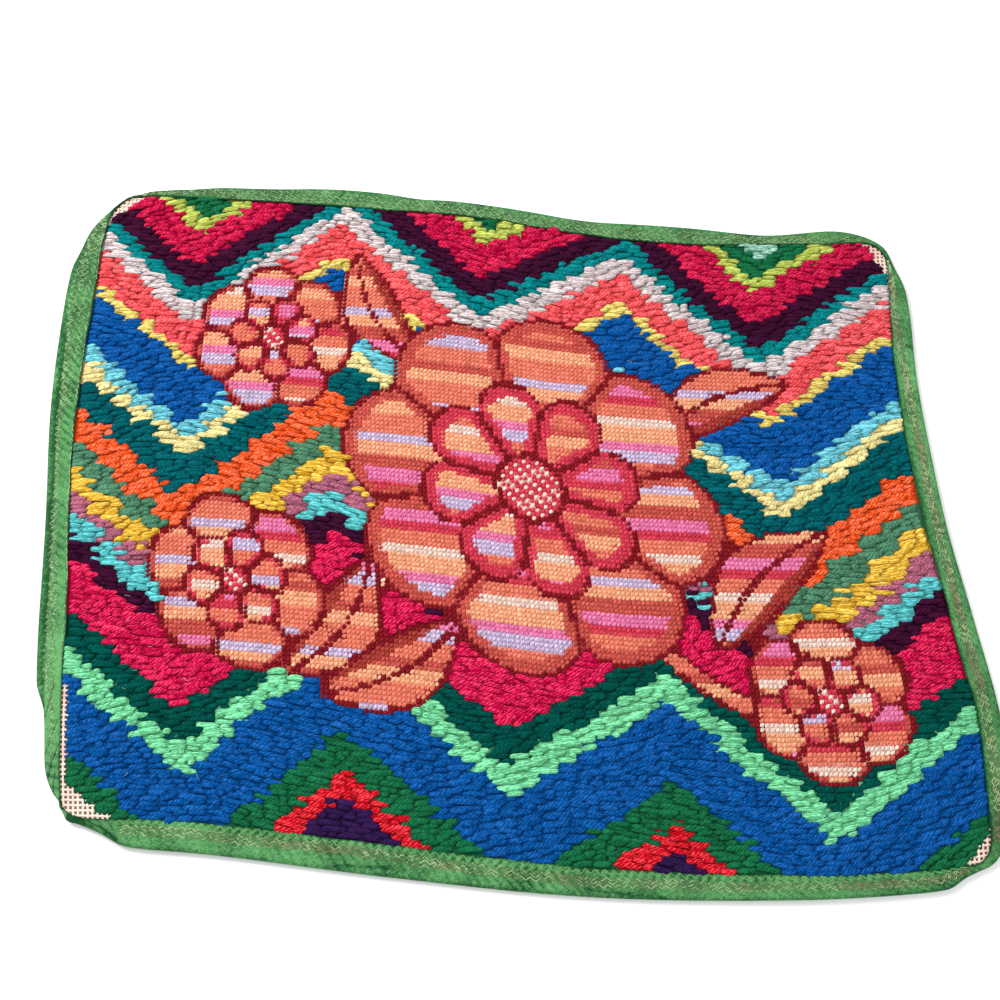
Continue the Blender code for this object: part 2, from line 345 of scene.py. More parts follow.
def end_faces(name):
    """Width of the tape's face on the two neighbours of a side, where they meet it."""
    neighbours = ("left", "right") if name in ("near", "far") else ("near", "far")
    end = 1.0 if name in ("far", "right") else 0.0
    return [float(side(neighbour, end, "face")) for neighbour in neighbours]


def edge_point(name, along, out):
    """Lattice places a distance out from the worked area, a side stretched to meet its neighbours."""
    start, finish = (face * np.sign(out) for face in end_faces(name))
    stretch = finish * along - start * (1 - along)
    if name in ("near", "far"):
        return along * WORKED_WIDTH + stretch, -out if name == "near" else WORKED_DEPTH + out
    return -out if name == "left" else WORKED_WIDTH + out, along * WORKED_DEPTH + stretch


def tape_lines(name, along):
    """Lattice places of the tape's inner edge and outer fold, and the distance between them."""
    s = along * SIDE_LENGTHS[name]
    outer = round_off(*edge_point(name, along, side(name, along, "face")), OUTER_LINE)
    inner = round_off(*edge_point(name, along, np.zeros_like(along)), INNER_LINE)
    width = np.hypot(outer[0] - inner[0], outer[1] - inner[1])
    kept = np.maximum(width - drawn_in(name, along), NARROWEST_TAPE) / width
    outer = [a + (b - a) * kept for a, b in zip(inner, outer)]
    wander = INNER_WANDER * (0.5 + 0.3 * np.sin(s * 97) + 0.2 * np.sin(s * 231 + 1.0)) / width
    wander = wander * np.clip(width / WANDER_FROM - 0.5, 0, 1) - lap(name, along) / width
    inner = [a + (b - a) * wander for a, b in zip(inner, outer)]
    return inner, outer, np.hypot(outer[0] - inner[0], outer[1] - inner[1])


def canvas_edge(name, at):
    """Lattice places of the canvas's own edge, inside the tape's fold, at distances along a side."""
    start, finish = end_faces(name)
    along = np.clip((at + start) / (SIDE_LENGTHS[name] + start + finish), 0.0, 1.0)
    inner, outer, width = tape_lines(name, along)
    share = np.clip(1 - (EDGE_TO_FOLD + side(name, along, "loose")) / width, 0.2, 1.0)
    return [a + (b - a) * share for a, b in zip(inner, outer)]


def within(u, v, outline):
    """True for places inside a closed outline, by counting how many of its edges lie to their right."""
    from_u, from_v = outline.T
    to_u, to_v = np.roll(outline, -1, 0).T
    u, v = np.asarray(u)[..., None], np.asarray(v)[..., None]
    crosses = (from_v > v) != (to_v > v)
    rise = np.where(crosses, to_v - from_v, 1.0)
    return (crosses & (u < from_u + (v - from_v) * (to_u - from_u) / rise)).sum(-1) % 2 == 1


def round_the_panel(places):
    """A closed outline, from a function that gives the lattice places along one side."""
    ways = (("near", 1), ("right", 1), ("far", -1), ("left", -1))
    return np.concatenate([np.stack(places(name), -1)[::way] for name, way in ways])


PAST_CORNER = 0.02
EDGE_PLACES = 120
OPENING_PLACES = 200
CANVAS_OUTLINE = round_the_panel(lambda name: canvas_edge(
    name, np.linspace(-PAST_CORNER, SIDE_LENGTHS[name] + PAST_CORNER, EDGE_PLACES)))
OPEN_OUTLINE = round_the_panel(lambda name: tape_lines(name, np.linspace(0, 1, OPENING_PLACES))[0])
print("canvas reaches from", CANVAS_OUTLINE.min(0).round(4), "to", CANVAS_OUTLINE.max(0).round(4))

# %% [markdown]
# ## Which cells are left bare
# The needleworker stopped short of the corners, and left one column of holes open up the near part of
# the left side. The triangles of the corner rows and one strip say where, so the stitches, the filling
# and the bare threads all read the same answer.

# %% Bare cells
STRIP_WIDTH = 1.1 * HOLE_PITCH
STRIP_LENGTH = 27 * HOLE_PITCH
RAGGED_EDGE = 0.4 * HOLE_PITCH


def is_bare(u, v, margin=0.0):
    """True in the corners and the strip that are left unworked, grown by a margin."""
    bare = (u < STRIP_WIDTH + margin) & (v < STRIP_LENGTH + margin)
    for name in CORNERS:
        from_u = WORKED_WIDTH - u if name[1] == "right" else u
        from_v = WORKED_DEPTH - v if name[0] == "far" else v
        leg_u, leg_v = corner(name, "bare_u") + margin, corner(name, "bare_v") + margin
        bare |= from_u / leg_u + from_v / leg_v < 1
    return bare


cell_v, cell_u = np.meshgrid((np.arange(HOLE_ROWS) + 0.5) * HOLE_PITCH,
                             (np.arange(HOLE_COLUMNS) + 0.5) * HOLE_PITCH, indexing="ij")
ragged = rng.uniform(-1.0, 1.0, cell_u.shape) * RAGGED_EDGE
worked = ~is_bare(cell_u + ragged, cell_v + ragged) & within(cell_u, cell_v, OPEN_OUTLINE)
print("worked cells:", int(worked.sum()), "of", worked.size)

# %% [markdown]
# ## Wool colours
# Needlepoint wool is sold in skeins, and each skein becomes one piece of this model: every stitch in
# that colour, joined. The colours are given as they look on a screen and turned into the linear values
# that a renderer adds up.

# %% Wool colours
GROUND_WOOLS = {
    "coral": (250, 74, 80), "crimson": (200, 0, 66), "plum": (60, 14, 46), "oyster": (214, 199, 200),
    "straw": (236, 206, 104), "teal": (0, 128, 132), "aqua": (104, 196, 212), "cream": (246, 222, 146),
    "peacock": (0, 92, 100), "orange": (255, 84, 14), "sage": (78, 132, 102), "gold": (250, 188, 50),
    "mauve": (176, 98, 122), "turquoise": (92, 202, 206), "royal": (0, 84, 160), "forest": (22, 106, 66),
    "mint": (118, 218, 158), "cerise": (212, 0, 74), "pine": (0, 78, 70), "purple": (50, 26, 76),
    "scarlet": (222, 8, 34), "lime": (186, 200, 88), "celadon": (156, 214, 190),
}
MOTIF_WOOLS = {
    "salmon": (236, 126, 102), "terracotta": (204, 86, 76), "peach": (255, 172, 132),
    "blush": (246, 212, 198), "lilac": (208, 188, 220), "pink": (238, 124, 172), "rose": (214, 60, 82),
    "maroon": (132, 24, 34), "brick": (170, 62, 54),
}


def linear(colour):
    """A colour as it looks on a screen, 0 to 255, as linear light."""
    share = [c / 255 for c in colour]
    return tuple(c / 12.92 if c <= 0.04045 else ((c + 0.055) / 1.055) ** 2.4 for c in share)


WOOLS = {name: linear(colour) for name, colour in {**GROUND_WOOLS, **MOTIF_WOOLS}.items()}
WOOL_NAMES = list(WOOLS)
print(len(GROUND_WOOLS), "ground wools and", len(MOTIF_WOOLS), "motif wools")

# %% [markdown]
# ## The ground: flame stripes
# The ground is a flame pattern, one of the oldest in canvas work: bands of colour that climb and fall in
# points. A painter would draw its edges. Here a short table gives the line of the flame, another gives
# the bands and how many rows each fills, and every cell looks up its band. Each row of the ground is
# pushed sideways a little at random, because stitches of uneven length never meet in a clean line.

# %% Chart the flame ground
FLAME_COLUMNS = (0, 24, 58, 92, 126, 158, 190)
FLAME_ROWS = (12, 33, 4, 30, 8, 36, 14)
ROW_SHIFT = 1.2
SHORTEST_RUN = 3
BANDS = (
    ("purple", 12), ("scarlet", 5), ("forest", 8), ("royal", 16), ("mint", 6), ("pine", 7),
    ("cerise", 13), ("plum", 5), ("turquoise", 5), ("mauve", 4), ("gold", 6), ("sage", 6), ("orange", 8),
    ("peacock", 9), ("cream", 4), ("aqua", 4), ("royal", 14), ("straw", 3), ("coral", 8), ("oyster", 5),
    ("teal", 4), ("plum", 6), ("crimson", 9), ("lime", 4), ("forest", 5), ("celadon", 4),
)

rows, columns = np.meshgrid(np.arange(HOLE_ROWS), np.arange(HOLE_COLUMNS), indexing="ij")
shift = rng.normal(0.0, ROW_SHIFT, HOLE_ROWS)[:, None]
flame = np.interp(columns + shift, FLAME_COLUMNS, FLAME_ROWS)


def stacked(bands, level):
    """Wool numbers at levels in a stack of bands, which are given as a wool and a number of rows."""
    tops = np.cumsum([height for _, height in bands])
    wools = np.array([WOOL_NAMES.index(name) for name, _ in bands])
    return wools[np.minimum(np.searchsorted(tops, level, side="right"), len(bands) - 1)]


def runs(line):
    """First and last-plus-one cell of every run of one value in a line of cells."""
    ends = np.flatnonzero(np.diff(line)) + 1
    return list(zip([0, *ends], [*ends, len(line)]))


chart = stacked(BANDS, rows + flame)
for line in chart:
    for start, end in runs(line)[1:]:
        if end - start < SHORTEST_RUN:
            line[start:end] = line[start - 1]
print("wools in the ground:", len(np.unique(chart)))

# %% [markdown]
# ## The motif: blooms in tent stitch
# The middle holds a spray of round blooms with leaves, worked in small slanting tent stitches. Every
# petal is filled with level stripes of pinks, shaded along its edges and drawn round in maroon. The
# blooms come from a formula in polar coordinates, so a row of five numbers describes a whole flower, and
# no picture is needed. Small gaps between the motif's parts are closed at the end.

# %% Chart the blooms
STRIPES = (
    ("salmon", 5), ("peach", 3), ("terracotta", 2), ("salmon", 4), ("lilac", 3), ("pink", 2),
    ("peach", 4), ("blush", 2), ("salmon", 3), ("rose", 2), ("pink", 3), ("terracotta", 3), ("peach", 3),
    ("lilac", 2),
)
PETAL_STEP = 9
PETAL_RINGS = ((0.80, 0.20, 0.0, 0, "terracotta"), (0.44, 0.15, math.pi / 2, 21, "rose"))
HEART = 0.19
RIM_SHADE = 0.09
GAP_SHADE = 0.055
OUTLINE = 1.15
LEAF_BEND = 0.25
LEAF_SHADE = 0.45
LEAF_RIB = 0.55
STEM_WIDTH = 3.0
STEM_STRIPE = 11
STEMS = (((108, 140, 163), (62, 34, 30)), ((100, 66, 36), (80, 52, 48)), ((104, 72, 46), (84, 110, 112)))
LEAVES = ((66, 58, 34, 15, -2.2, 3), (84, 46, 36, 15, -2.6, 14), (138, 44, 40, 16, 0.75, 8),
          (132, 92, 36, 15, 0.45, 17), (78, 104, 32, 14, 2.1, 5))
BLOOMS = ((36, 50, 20, 6, 0.3), (44, 108, 19, 7, 0.1), (160, 34, 18, 6, 0.6), (103, 78, 43, 8, 0.2))
motif = np.zeros(chart.shape, bool)


def striped(shift_by):
    """Wool of each row of cells, in level stripes that start a number of rows up."""
    return stacked(STRIPES, (rows + shift_by) % sum(height for _, height in STRIPES))


def paint(where, wool):
    """Work the cells where a mask is true in one wool, or in a wool for each cell."""
    motif[where] = True
    numbers = WOOL_NAMES.index(wool) if isinstance(wool, str) else wool
    chart[where] = np.broadcast_to(numbers, chart.shape)[where]


def bloom(column, row, radius, petals, turn):
    """A round flower: outer petals, inner petals between them, and a dotted heart."""
    across, up = columns - column, rows - row
    far = np.hypot(across, up)
    angle = (np.arctan2(up, across) + turn) * petals / 2
    for reach, crown, phase, stripe, edge_wool in PETAL_RINGS:
        lobe = np.abs(np.cos(angle + phase))
        rim = radius * (reach + crown * lobe ** 0.6)
        gap = np.arcsin(lobe) / (petals / 2) * far
        petal = np.floor((angle + phase) / math.pi + 0.5).astype(int) % petals
        inside = far < rim
        paint(inside, striped(petal * PETAL_STEP + stripe))
        paint(inside & ((rim - far < RIM_SHADE * radius) | (gap < GAP_SHADE * radius)), edge_wool)
        paint(inside & ((rim - far < OUTLINE) | (gap < OUTLINE * 0.6)), "maroon")
    paint(far < HEART * radius, "maroon")
    paint(far < HEART * radius - OUTLINE, "rose")
    paint((far < HEART * radius - OUTLINE) & ((columns + rows) % 3 == 0), "blush")


def leaf(column, row, length, width, turn, shift_by):
    """A pointed leaf with a rib, growing from a cell in a direction."""
    across, up = columns - column, rows - row
    along = (across * math.cos(turn) + up * math.sin(turn)) / length
    off = up * math.cos(turn) - across * math.sin(turn) - width * LEAF_BEND * np.sin(along * math.pi)
    half = width / 2 * np.sin(np.clip(along, 0, 1) * math.pi) ** 0.75
    inside = (along > 0) & (along < 1) & (np.abs(off) < half)
    paint(inside, striped(shift_by))
    paint(inside & (off < 0) & (half - np.abs(off) < half * LEAF_SHADE), "brick")
    paint(inside & ((half - np.abs(off) < OUTLINE) | (np.abs(off) < LEAF_RIB)), "maroon")


def stem(columns_through, rows_through):
    """A stem: a thick smooth line of cells through three places."""
    steps = np.linspace(0, 1, 400)
    curve = [np.polyval(np.polyfit((0, 0.5, 1), through, 2), steps)
             for through in (columns_through, rows_through)]
    near = np.full(chart.shape, np.inf)
    for at_column, at_row in zip(*curve):
        near = np.minimum(near, np.hypot(columns - at_column, rows - at_row))
    paint(near < STEM_WIDTH / 2 + OUTLINE * 0.8, "maroon")
    paint(near < STEM_WIDTH / 2, striped(STEM_STRIPE))


def close_gaps():
    """Work the ground cells that have more than four of the motif's cells round them in maroon."""
    padded = np.pad(motif, 1, mode="edge").astype(int)
    around = sum(padded[i:i + HOLE_ROWS, j:j + HOLE_COLUMNS] for i in range(3) for j in range(3))
    paint(~motif & (around > 4), "maroon")


for places in STEMS:
    stem(*places)
for plant in LEAVES:
    leaf(*plant)
for plant in BLOOMS:
    bloom(*plant)
for _ in range(3):
    close_gaps()
motif &= worked
print("motif cells:", int(motif.sum()), "share:", round(motif.sum() / worked.sum(), 2))

# %% [markdown]
# ## Shader maths in Python
# A node graph is easier to read as a formula. One class wraps a socket, so that `1 - mask * 0.5` adds
# the Math nodes it stands for. Another holds a material and has one method that adds any other node.

# %% Wires and finishes
class Wire:
    """An output socket of a finish's node. Arithmetic on it adds Math nodes."""

    def __init__(self, finish, socket):
        self.finish = finish
        self.socket = socket

    def reckon(self, operation, *values):
        return self.finish.node("ShaderNodeMath", {"operation": operation}, dict(enumerate(values)))

    def __add__(self, other):
        return self.reckon("ADD", self, other)

    def __sub__(self, other):
        return self.reckon("SUBTRACT", self, other)

    def __rsub__(self, other):
        return self.reckon("SUBTRACT", other, self)

    def __mul__(self, other):
        return self.reckon("MULTIPLY", self, other)

    def __abs__(self):
        return self.reckon("ABSOLUTE", self)

    def sine(self):
        return self.reckon("SINE", self)

    def step(self, low, high):
        """0 below low and 1 above high, smooth between them."""
        return self.finish.node("ShaderNodeMapRange", {"interpolation_type": "SMOOTHSTEP"},
                                {"Value": self, "From Min": low, "From Max": high})


class Finish:
    """A material with a Principled shader, and the means to add nodes to it."""

    def __init__(self, name):
        self.material = bpy.data.materials.new(name)
        self.material.use_nodes = True
        self.tree = self.material.node_tree
        self.shader = self.tree.nodes["Principled BSDF"]

    def node(self, kind, settings=None, sockets=None, output=0):
        """Add a node: its settings first, then a value or a wire for each named or numbered socket."""
        made = self.tree.nodes.new(kind)
        for name, value in (settings or {}).items():
            setattr(made, name, value)
        for name, value in (sockets or {}).items():
            self.feed(made.inputs[name], value)
        return Wire(self, made.outputs[output])

    def feed(self, socket, value):
        if isinstance(value, Wire):
            self.tree.links.new(value.socket, socket)
        else:
            socket.default_value = value

    def mix(self, factor, first, second):
        """A colour part of the way from one to another."""
        first, second = ((*c, 1.0) if isinstance(c, tuple) else c for c in (first, second))
        sockets = {0: factor, 6: first, 7: second}
        return self.node("ShaderNodeMix", {"data_type": "RGBA"}, sockets, output=2)

    def colour(self, value):
        self.feed(self.shader.inputs["Base Color"], value)

    def attribute(self, name, output="Fac"):
        return self.node("ShaderNodeAttribute", {"attribute_name": name}, output=output)

    def noise(self, vector, scale, detail=2.0):
        return self.node("ShaderNodeTexNoise", None, {"Vector": vector, "Scale": scale, "Detail": detail})

    def vector(self, *numbers):
        return self.node("ShaderNodeCombineXYZ", None, dict(enumerate(numbers)))

    def parts(self, vector):
        """The three numbers of a vector."""
        split = self.node("ShaderNodeSeparateXYZ", None, {0: vector}).socket.node
        return [Wire(self, socket) for socket in split.outputs]

    def place(self):
        return self.node("ShaderNodeTexCoord", output="Object")

    def upwards(self):
        """1 on faces that look up, 0 on upright ones and -1 on those that look down."""
        return self.parts(self.node("ShaderNodeTexCoord", output="Normal"))[2]

    def bump(self, height, distance):
        self.feed(self.shader.inputs["Normal"],
                  self.node("ShaderNodeBump", None, {"Height": height, "Distance": distance}))

    def constants(self, **values):
        """Set plain values on the shader, such as sheen_weight=0.3 on Sheen Weight."""
        for name, value in values.items():
            self.shader.inputs[name.replace("_", " ").title().replace("Ior", "IOR")].default_value = value


print("shader helpers ready")

# %% [markdown]
# ## The finish of wool
# Tapestry wool is two or more plies twisted together. What the eye reads is the slanting groove between
# the plies, a soft sheen from loose fibres, and a colour that is never quite even. The grooves follow the
# yarn, so the finish reads an attribute called `strand` that runs along and across each stitch, and not
# the coordinates of the panel. Some of the wools are hardly twisted, and their grooves run almost along
# the stitch. The light and shade on the plies are painted into the colour too: painted shade on the side
# of each ply away from the key light, and whiter painted highlight strokes on its lit slope.

# %% Wool finish
PLY_SPACING = 0.0015
PLY_SLANT = math.radians(42)
LOOSE_SLANT = math.radians(10)
LOOSE_WOOLS = ("gold", "mint", "celadon", "aqua", "turquoise", "lime", "straw", "oyster")
LIT_SLOPE = 1.2
# Tones of each wool: painted shade, plain, painted highlight, and how much whiter the painted highlight
# gets.
GROUND_TONES = (0.42, 1.00, 1.30, 0.16)
MOTIF_TONES = (0.60, 1.05, 1.20, 0.06)
BAKE_MAP = "OFBake"


def toned(colour, share, gain=0.0):
    """A colour made darker or lighter, and whiter by a gain, which counts for more in a bright colour."""
    white = gain * max(colour) ** 2
    return tuple(min(c * share + white, 1.0) for c in colour)


def wool_finish(name, colour, tones):
    dark, plain, bright, gain = tones
    finish = Finish(f"wool {name}")
    strand = finish.attribute("strand", "Vector")
    along, across, _ = finish.parts(strand)
    shade = finish.attribute("shade")
    slant = LOOSE_SLANT if name in LOOSE_WOOLS else PLY_SLANT
    wander = finish.noise(strand, 420.0) * 4.0
    turn = across * math.cos(slant) - along * math.sin(slant)
    down = along * math.cos(slant) + across * math.sin(slant)
    phase = turn * (2 * math.pi / PLY_SPACING) + wander
    ridge = phase.sine() * 0.5 + 0.5
    # Painted light: the colour's crest sits on the slope of each ply that faces the key light.
    lit = (phase - LIT_SLOPE).sine() * 0.5 + 0.5
    fibre = finish.noise(finish.vector(turn * 1500.0, down * 420.0, shade * 40.0), 1.0).step(0.34, 0.66)
    heather = finish.noise(finish.place(), 140.0)
    # The colour runs from painted shade to plain with the lit slopes, fibre, heather and each stitch's
    # own tone; the painted highlight strokes go whiter still.
    tone = lit * 0.50 + fibre * 0.40 + heather * 0.30 + shade - 0.12
    painted_highlight = (lit * 0.60 + fibre * 0.55 + shade - 0.15).step(0.35, 0.95)
    body = finish.mix(tone.step(0.0, 0.9), toned(colour, dark), toned(colour, plain))
    finish.colour(finish.mix(painted_highlight, body, toned(colour, bright, gain)))
    finish.bump(ridge * 0.8 + fibre * 0.3, 0.00050)
    finish.constants(roughness=0.9, specular_ior_level=0.03, sheen_weight=0.06, sheen_roughness=0.5,
                     sheen_tint=(*toned(colour, 1.2), 1.0))
    return finish.material


wool_materials = {
    name: wool_finish(name, colour, GROUND_TONES if name in GROUND_WOOLS else MOTIF_TONES)
    for name, colour in WOOLS.items()
}
print("wool finishes:", len(wool_materials))

# %% [markdown]
# ## One stitch, many times
# A stitch is a short sausage of yarn that dives into a hole at each end. Its mesh starts as a low UV
# sphere with its poles turned to the two ends. Array modifiers can't give every copy its own length,
# slant and colour, so numpy does the copying: it bends the one unit stitch into each place and writes
# all of them into one mesh. The sphere's own UV map is shrunk into a grid of little squares, one for
# each stitch, so that no two stitches share a patch of texture.

# %% Unit stitches and the copying
def as_mesh(name, shape):
    """A mesh of a bmesh, which is freed."""
    mesh = bpy.data.meshes.new(name)
    shape.to_mesh(mesh)
    shape.free()
    return mesh


def add_object(name, mesh, material, smooth=True):
    """An object of a mesh in one material, with smooth or flat faces."""
    mesh.materials.clear()
    mesh.materials.append(material)
    mesh.polygons.foreach_set("use_smooth", np.full(len(mesh.polygons), smooth))
    made = bpy.data.objects.new(name, mesh)
    bpy.context.scene.collection.objects.link(made)
    return made


def unit_stitch(around, rings):
    """A unit sausage along X as arrays: points, corners, face starts and the map of its corners."""
    shape = bmesh.new()
    shape.loops.layers.uv.new(BAKE_MAP)
    bmesh.ops.create_uvsphere(shape, u_segments=around, v_segments=rings + 1, radius=1.0, calc_uvs=True)
    bmesh.ops.rotate(shape, verts=shape.verts, matrix=Matrix.Rotation(math.radians(-90), 3, "Y"))
    mesh = as_mesh("unit stitch", shape)
    points = np.array([vertex.co for vertex in mesh.vertices])
    corners = np.array([loop.vertex_index for loop in mesh.loops])
    starts = np.array([face.loop_start for face in mesh.polygons])
    spots = np.array([loop.uv for loop in mesh.uv_layers[0].data])
    bpy.data.meshes.remove(mesh)
    return points, corners, starts, spots


def add_piece(name, points, corners, starts, material):
    """An object of a mesh given as arrays, riding on the panel."""
    mesh = bpy.data.meshes.new(name)
    mesh.vertices.add(len(points))
    mesh.vertices.foreach_set("co", points.astype(np.float32).ravel())
    mesh.loops.add(len(corners))
    mesh.loops.foreach_set("vertex_index", corners.astype(np.int32))
    mesh.polygons.add(len(starts))
    mesh.polygons.foreach_set("loop_start", starts.astype(np.int32))
    mesh.update(calc_edges=True)
    piece = add_object(name, mesh, material)
    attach(piece, "root")
    return piece


def write_attribute(piece, name, kind, field, values):
    """Give every point of a piece a value that its finish can read."""
    attribute = piece.data.attributes.new(name, kind, "POINT")
    attribute.data.foreach_set(field, values.astype(np.float32).ravel())


def copy_stitches(name, unit, form, stitches, material):
    """Copy a unit stitch along every row of an array of stitches, and join the copies.

    form names the yarn's sizes and the rings: how far each is from its end, at most and as a share
    of the stitch, and how thick the yarn is there.
    """
    points, corners, starts, spots = unit
    rings = form["rings"]
    last = 2 * len(rings) - 2
    count, size = len(stitches), len(points)
    ring = np.rint(np.arccos(np.clip(points[:, 0], -1, 1)) / math.pi * last).astype(int)
    half = np.minimum(ring, last - ring)
    most, share, girth = np.array(rings).T
    u0, v0, u1, v1, bend, fat, rise, tone = stitches.T[:, :, None]
    length = np.hypot(u1 - u0, v1 - v0)
    inset = np.minimum(most[half], share[half] * length)
    along = np.where(ring < len(rings), inset, length - inset)
    radial = np.hypot(points[:, 1], points[:, 2]).clip(1e-6)
    sideways = points[:, 1] / radial * girth[half] * form["width"] / 2 * fat
    upright = points[:, 2] / radial * girth[half] * form["thickness"] / 2 * fat
    upright = np.maximum(upright, -form["thickness"] * FLAT_BELOW)
    middle = along / length
    arch = 4 * middle * (1 - middle)
    along = along + form["slant"] * sideways * np.clip(length / FULL_SLANT_FROM, LEAST_SLANT, 1.0)
    sideways = sideways + bend * arch
    step_u, step_v = (u1 - u0) / length, (v1 - v0) / length
    height = form["level"] + rise - form["dive"] * (1 - arch) ** form["tuck"] + upright
    placed = lay(u0 + step_u * along - step_v * sideways, v0 + step_v * along + step_u * sideways, height)
    offsets = np.arange(count)[:, None]
    piece = add_piece(name, placed.reshape(-1, 3), (corners + offsets * size).ravel(),
                      (starts + offsets * len(corners)).ravel(), material)
    side_by_side = math.ceil(math.sqrt(count))
    tile = np.stack([offsets % side_by_side, offsets // side_by_side], -1)
    spots = (tile + TILE_GAP + spots * (1 - 2 * TILE_GAP)) / side_by_side
    piece.data.uv_layers.new(name=BAKE_MAP)
    piece.data.uv_layers[0].uv.foreach_set("vector", spots.astype(np.float32).ravel())
    turn = np.arctan2(points[:, 1], points[:, 2]) * form["width"] / 2
    strand = np.stack(np.broadcast_arrays(along + u0 * 7 + v0 * 11, turn, tone), -1)
    write_attribute(piece, "strand", "FLOAT_VECTOR", "vector", strand)
    write_attribute(piece, "shade", "FLOAT", "value", strand[..., 2])
    return piece


FULL_SLANT_FROM = 0.009
LEAST_SLANT = 0.2
FLAT_BELOW = 0.3
TILE_GAP = 0.04
LONG = {
    "width": 0.00355, "thickness": 0.00180, "level": 0.00305, "dive": 0.00120, "tuck": 4.0, "slant": 0.55,
    "rings": ((0.0, 0.0, 0.0), (0.00045, 0.07, 0.52), (0.00160, 0.26, 0.88), (1.0, 0.50, 1.0)),
}
TENT = {
    "width": 0.00222, "thickness": 0.00175, "level": 0.00245, "dive": 0.00060, "tuck": 3.0, "slant": 0.0,
    "rings": ((0.0, 0.0, 0.0), (1.0, 0.15, 0.74), (1.0, 0.50, 1.0)),
}
long_unit = unit_stitch(7, 5)
tent_unit = unit_stitch(6, 3)
print("points in a long stitch:", len(long_unit[0]), "and in a tent stitch:", len(tent_unit[0]))

# %% [markdown]
# ## The ground in random long stitch
# The ground is worked in level stitches, one to each row of holes, that run over two to seven threads of
# the canvas. A needleworker picks each length by eye so that no two ends meet in a line. The rows of the
# chart are cut up the same way here: each run of one colour is broken into random lengths.

# %% Ground stitches
STITCH_LENGTHS = (2, 3, 4, 5, 6)
STITCH_SHARES = (0.08, 0.28, 0.32, 0.22, 0.10)
SHORTEST_END = 2

ground = worked & ~motif
for row in range(HOLE_ROWS):
    line = np.where(ground[row], chart[row], -1)
    for start, end in runs(line):
        beside = [line[i] for i in (start - 1, end) if 0 <= i < HOLE_COLUMNS and line[i] >= 0]
        if line[start] >= 0 and end - start < SHORTEST_END and beside:
            chart[row, start:end] = beside[0]
by_wool = {name: [] for name in WOOL_NAMES}
for row in range(HOLE_ROWS):
    for start, end in runs(np.where(ground[row], chart[row], -1)):
        while start < end and ground[row, start]:
            reach = int(rng.choice(STITCH_LENGTHS, p=STITCH_SHARES))
            if end - start - reach < SHORTEST_END:
                reach = end - start
            by_wool[WOOL_NAMES[chart[row, start]]].append((start, row + 0.5, start + reach, row + 0.5))
            start += reach


def with_uneven_hands(cells, hand):
    """Stitches in metres from ends in cells, each a little out of place as hand work is.

    The sines are slow waves, 27 to 88 cells long, so that neighbouring stitches stray together.
    """
    ends = np.array(cells, float)
    count = len(ends)
    run = ends[:, 2:] - ends[:, :2]
    pull = hand["pull"] * run / np.hypot(*run.T)[:, None]
    ends += np.hstack([pull, -pull]) + rng.normal(0.0, hand["stray"], (count, 4))
    sway = hand["sway"] * np.sin(ends[:, ::2] * 0.23 + 1.7 * np.sin(ends[:, 1::2] * 0.11))
    ends[:, 1::2] += sway * np.sin(ends[:, 1::2] * 0.19 + 0.8)
    field = np.sin(ends[:, 0] * 0.071 + 2.0 * np.sin(ends[:, 1] * 0.083 + 1.0))
    tilt = hand["tilt"] * field + rng.normal(0.0, hand["tilt"] * 0.3, count)
    ends[:, 1::2] += np.stack([-tilt, tilt], -1) * run[:, :1] / 2
    eager = rng.random(count) < hand["eager"]
    ends[eager, 2] += rng.uniform(*EAGER_REACH, eager.sum())
    ends[:, ::2] = ends[:, ::2].clip(-0.1, HOLE_COLUMNS + 0.1)
    extra = np.stack([rng.normal(0.0, hand["bend"], count), rng.normal(1.0, hand["fat"], count),
                      rng.normal(0.0, hand["rise"], count) + eager * EAGER_RISE,
                      rng.normal(0.0, hand["tone"], count)], -1)
    return np.hstack([ends * HOLE_PITCH, extra])


EAGER_REACH = (0.5, 1.6)
EAGER_RISE = 0.0005
GROUND_HAND = {"pull": -0.02, "stray": 0.13, "sway": 0.45, "tilt": 0.15, "eager": 0.05, "bend": 0.00034,
               "fat": 0.09, "rise": 0.00016, "tone": 0.07}
MOTIF_HAND = {"pull": 0.03, "stray": 0.05, "sway": 0.10, "tilt": 0.0, "eager": 0.0, "bend": 0.00006,
              "fat": 0.06, "rise": 0.00007, "tone": 0.09}
ground_pieces = [
    copy_stitches(f"long_stitch_{name}", long_unit, LONG, with_uneven_hands(cells, GROUND_HAND),
                  wool_materials[name])
    for name, cells in by_wool.items() if cells
]
print("long stitches:", sum(len(cells) for cells in by_wool.values()))

# %% [markdown]
# ## The motif in tent stitch
# A tent stitch crosses one intersection of the canvas, from the lower left hole to the upper right, and
# every one leans the same way. It is fat for its length, so it reads as a small slanting bead.

# %% Motif stitches
for number, name in enumerate(WOOL_NAMES):
    at_row, at_column = np.nonzero(motif & (chart == number))
    if not len(at_row):
        continue
    cells = np.stack([at_column, at_row, at_column + 1, at_row + 1], -1)
    stitches = with_uneven_hands(cells, MOTIF_HAND)
    copy_stitches(f"tent_stitch_{name}", tent_unit, TENT, stitches, wool_materials[name])
print("tent stitches:", int(motif.sum()))

# %% [markdown]
# ## The filled canvas under the stitches
# Between and below the stitches lies the canvas itself, packed with the wool that passes through it. It
# only shows as a dark line of the same colour between two stitches, and on the back of the panel. That
# dark line is painted shade: the sheet's top is its wool's colour darkened, and on the back painted shade
# lies between the wool's floats. A grid with a Solidify wall is enough: each face takes the wool of the
# chart above it, and the wall is thin where the canvas runs on, unworked, into the tape.

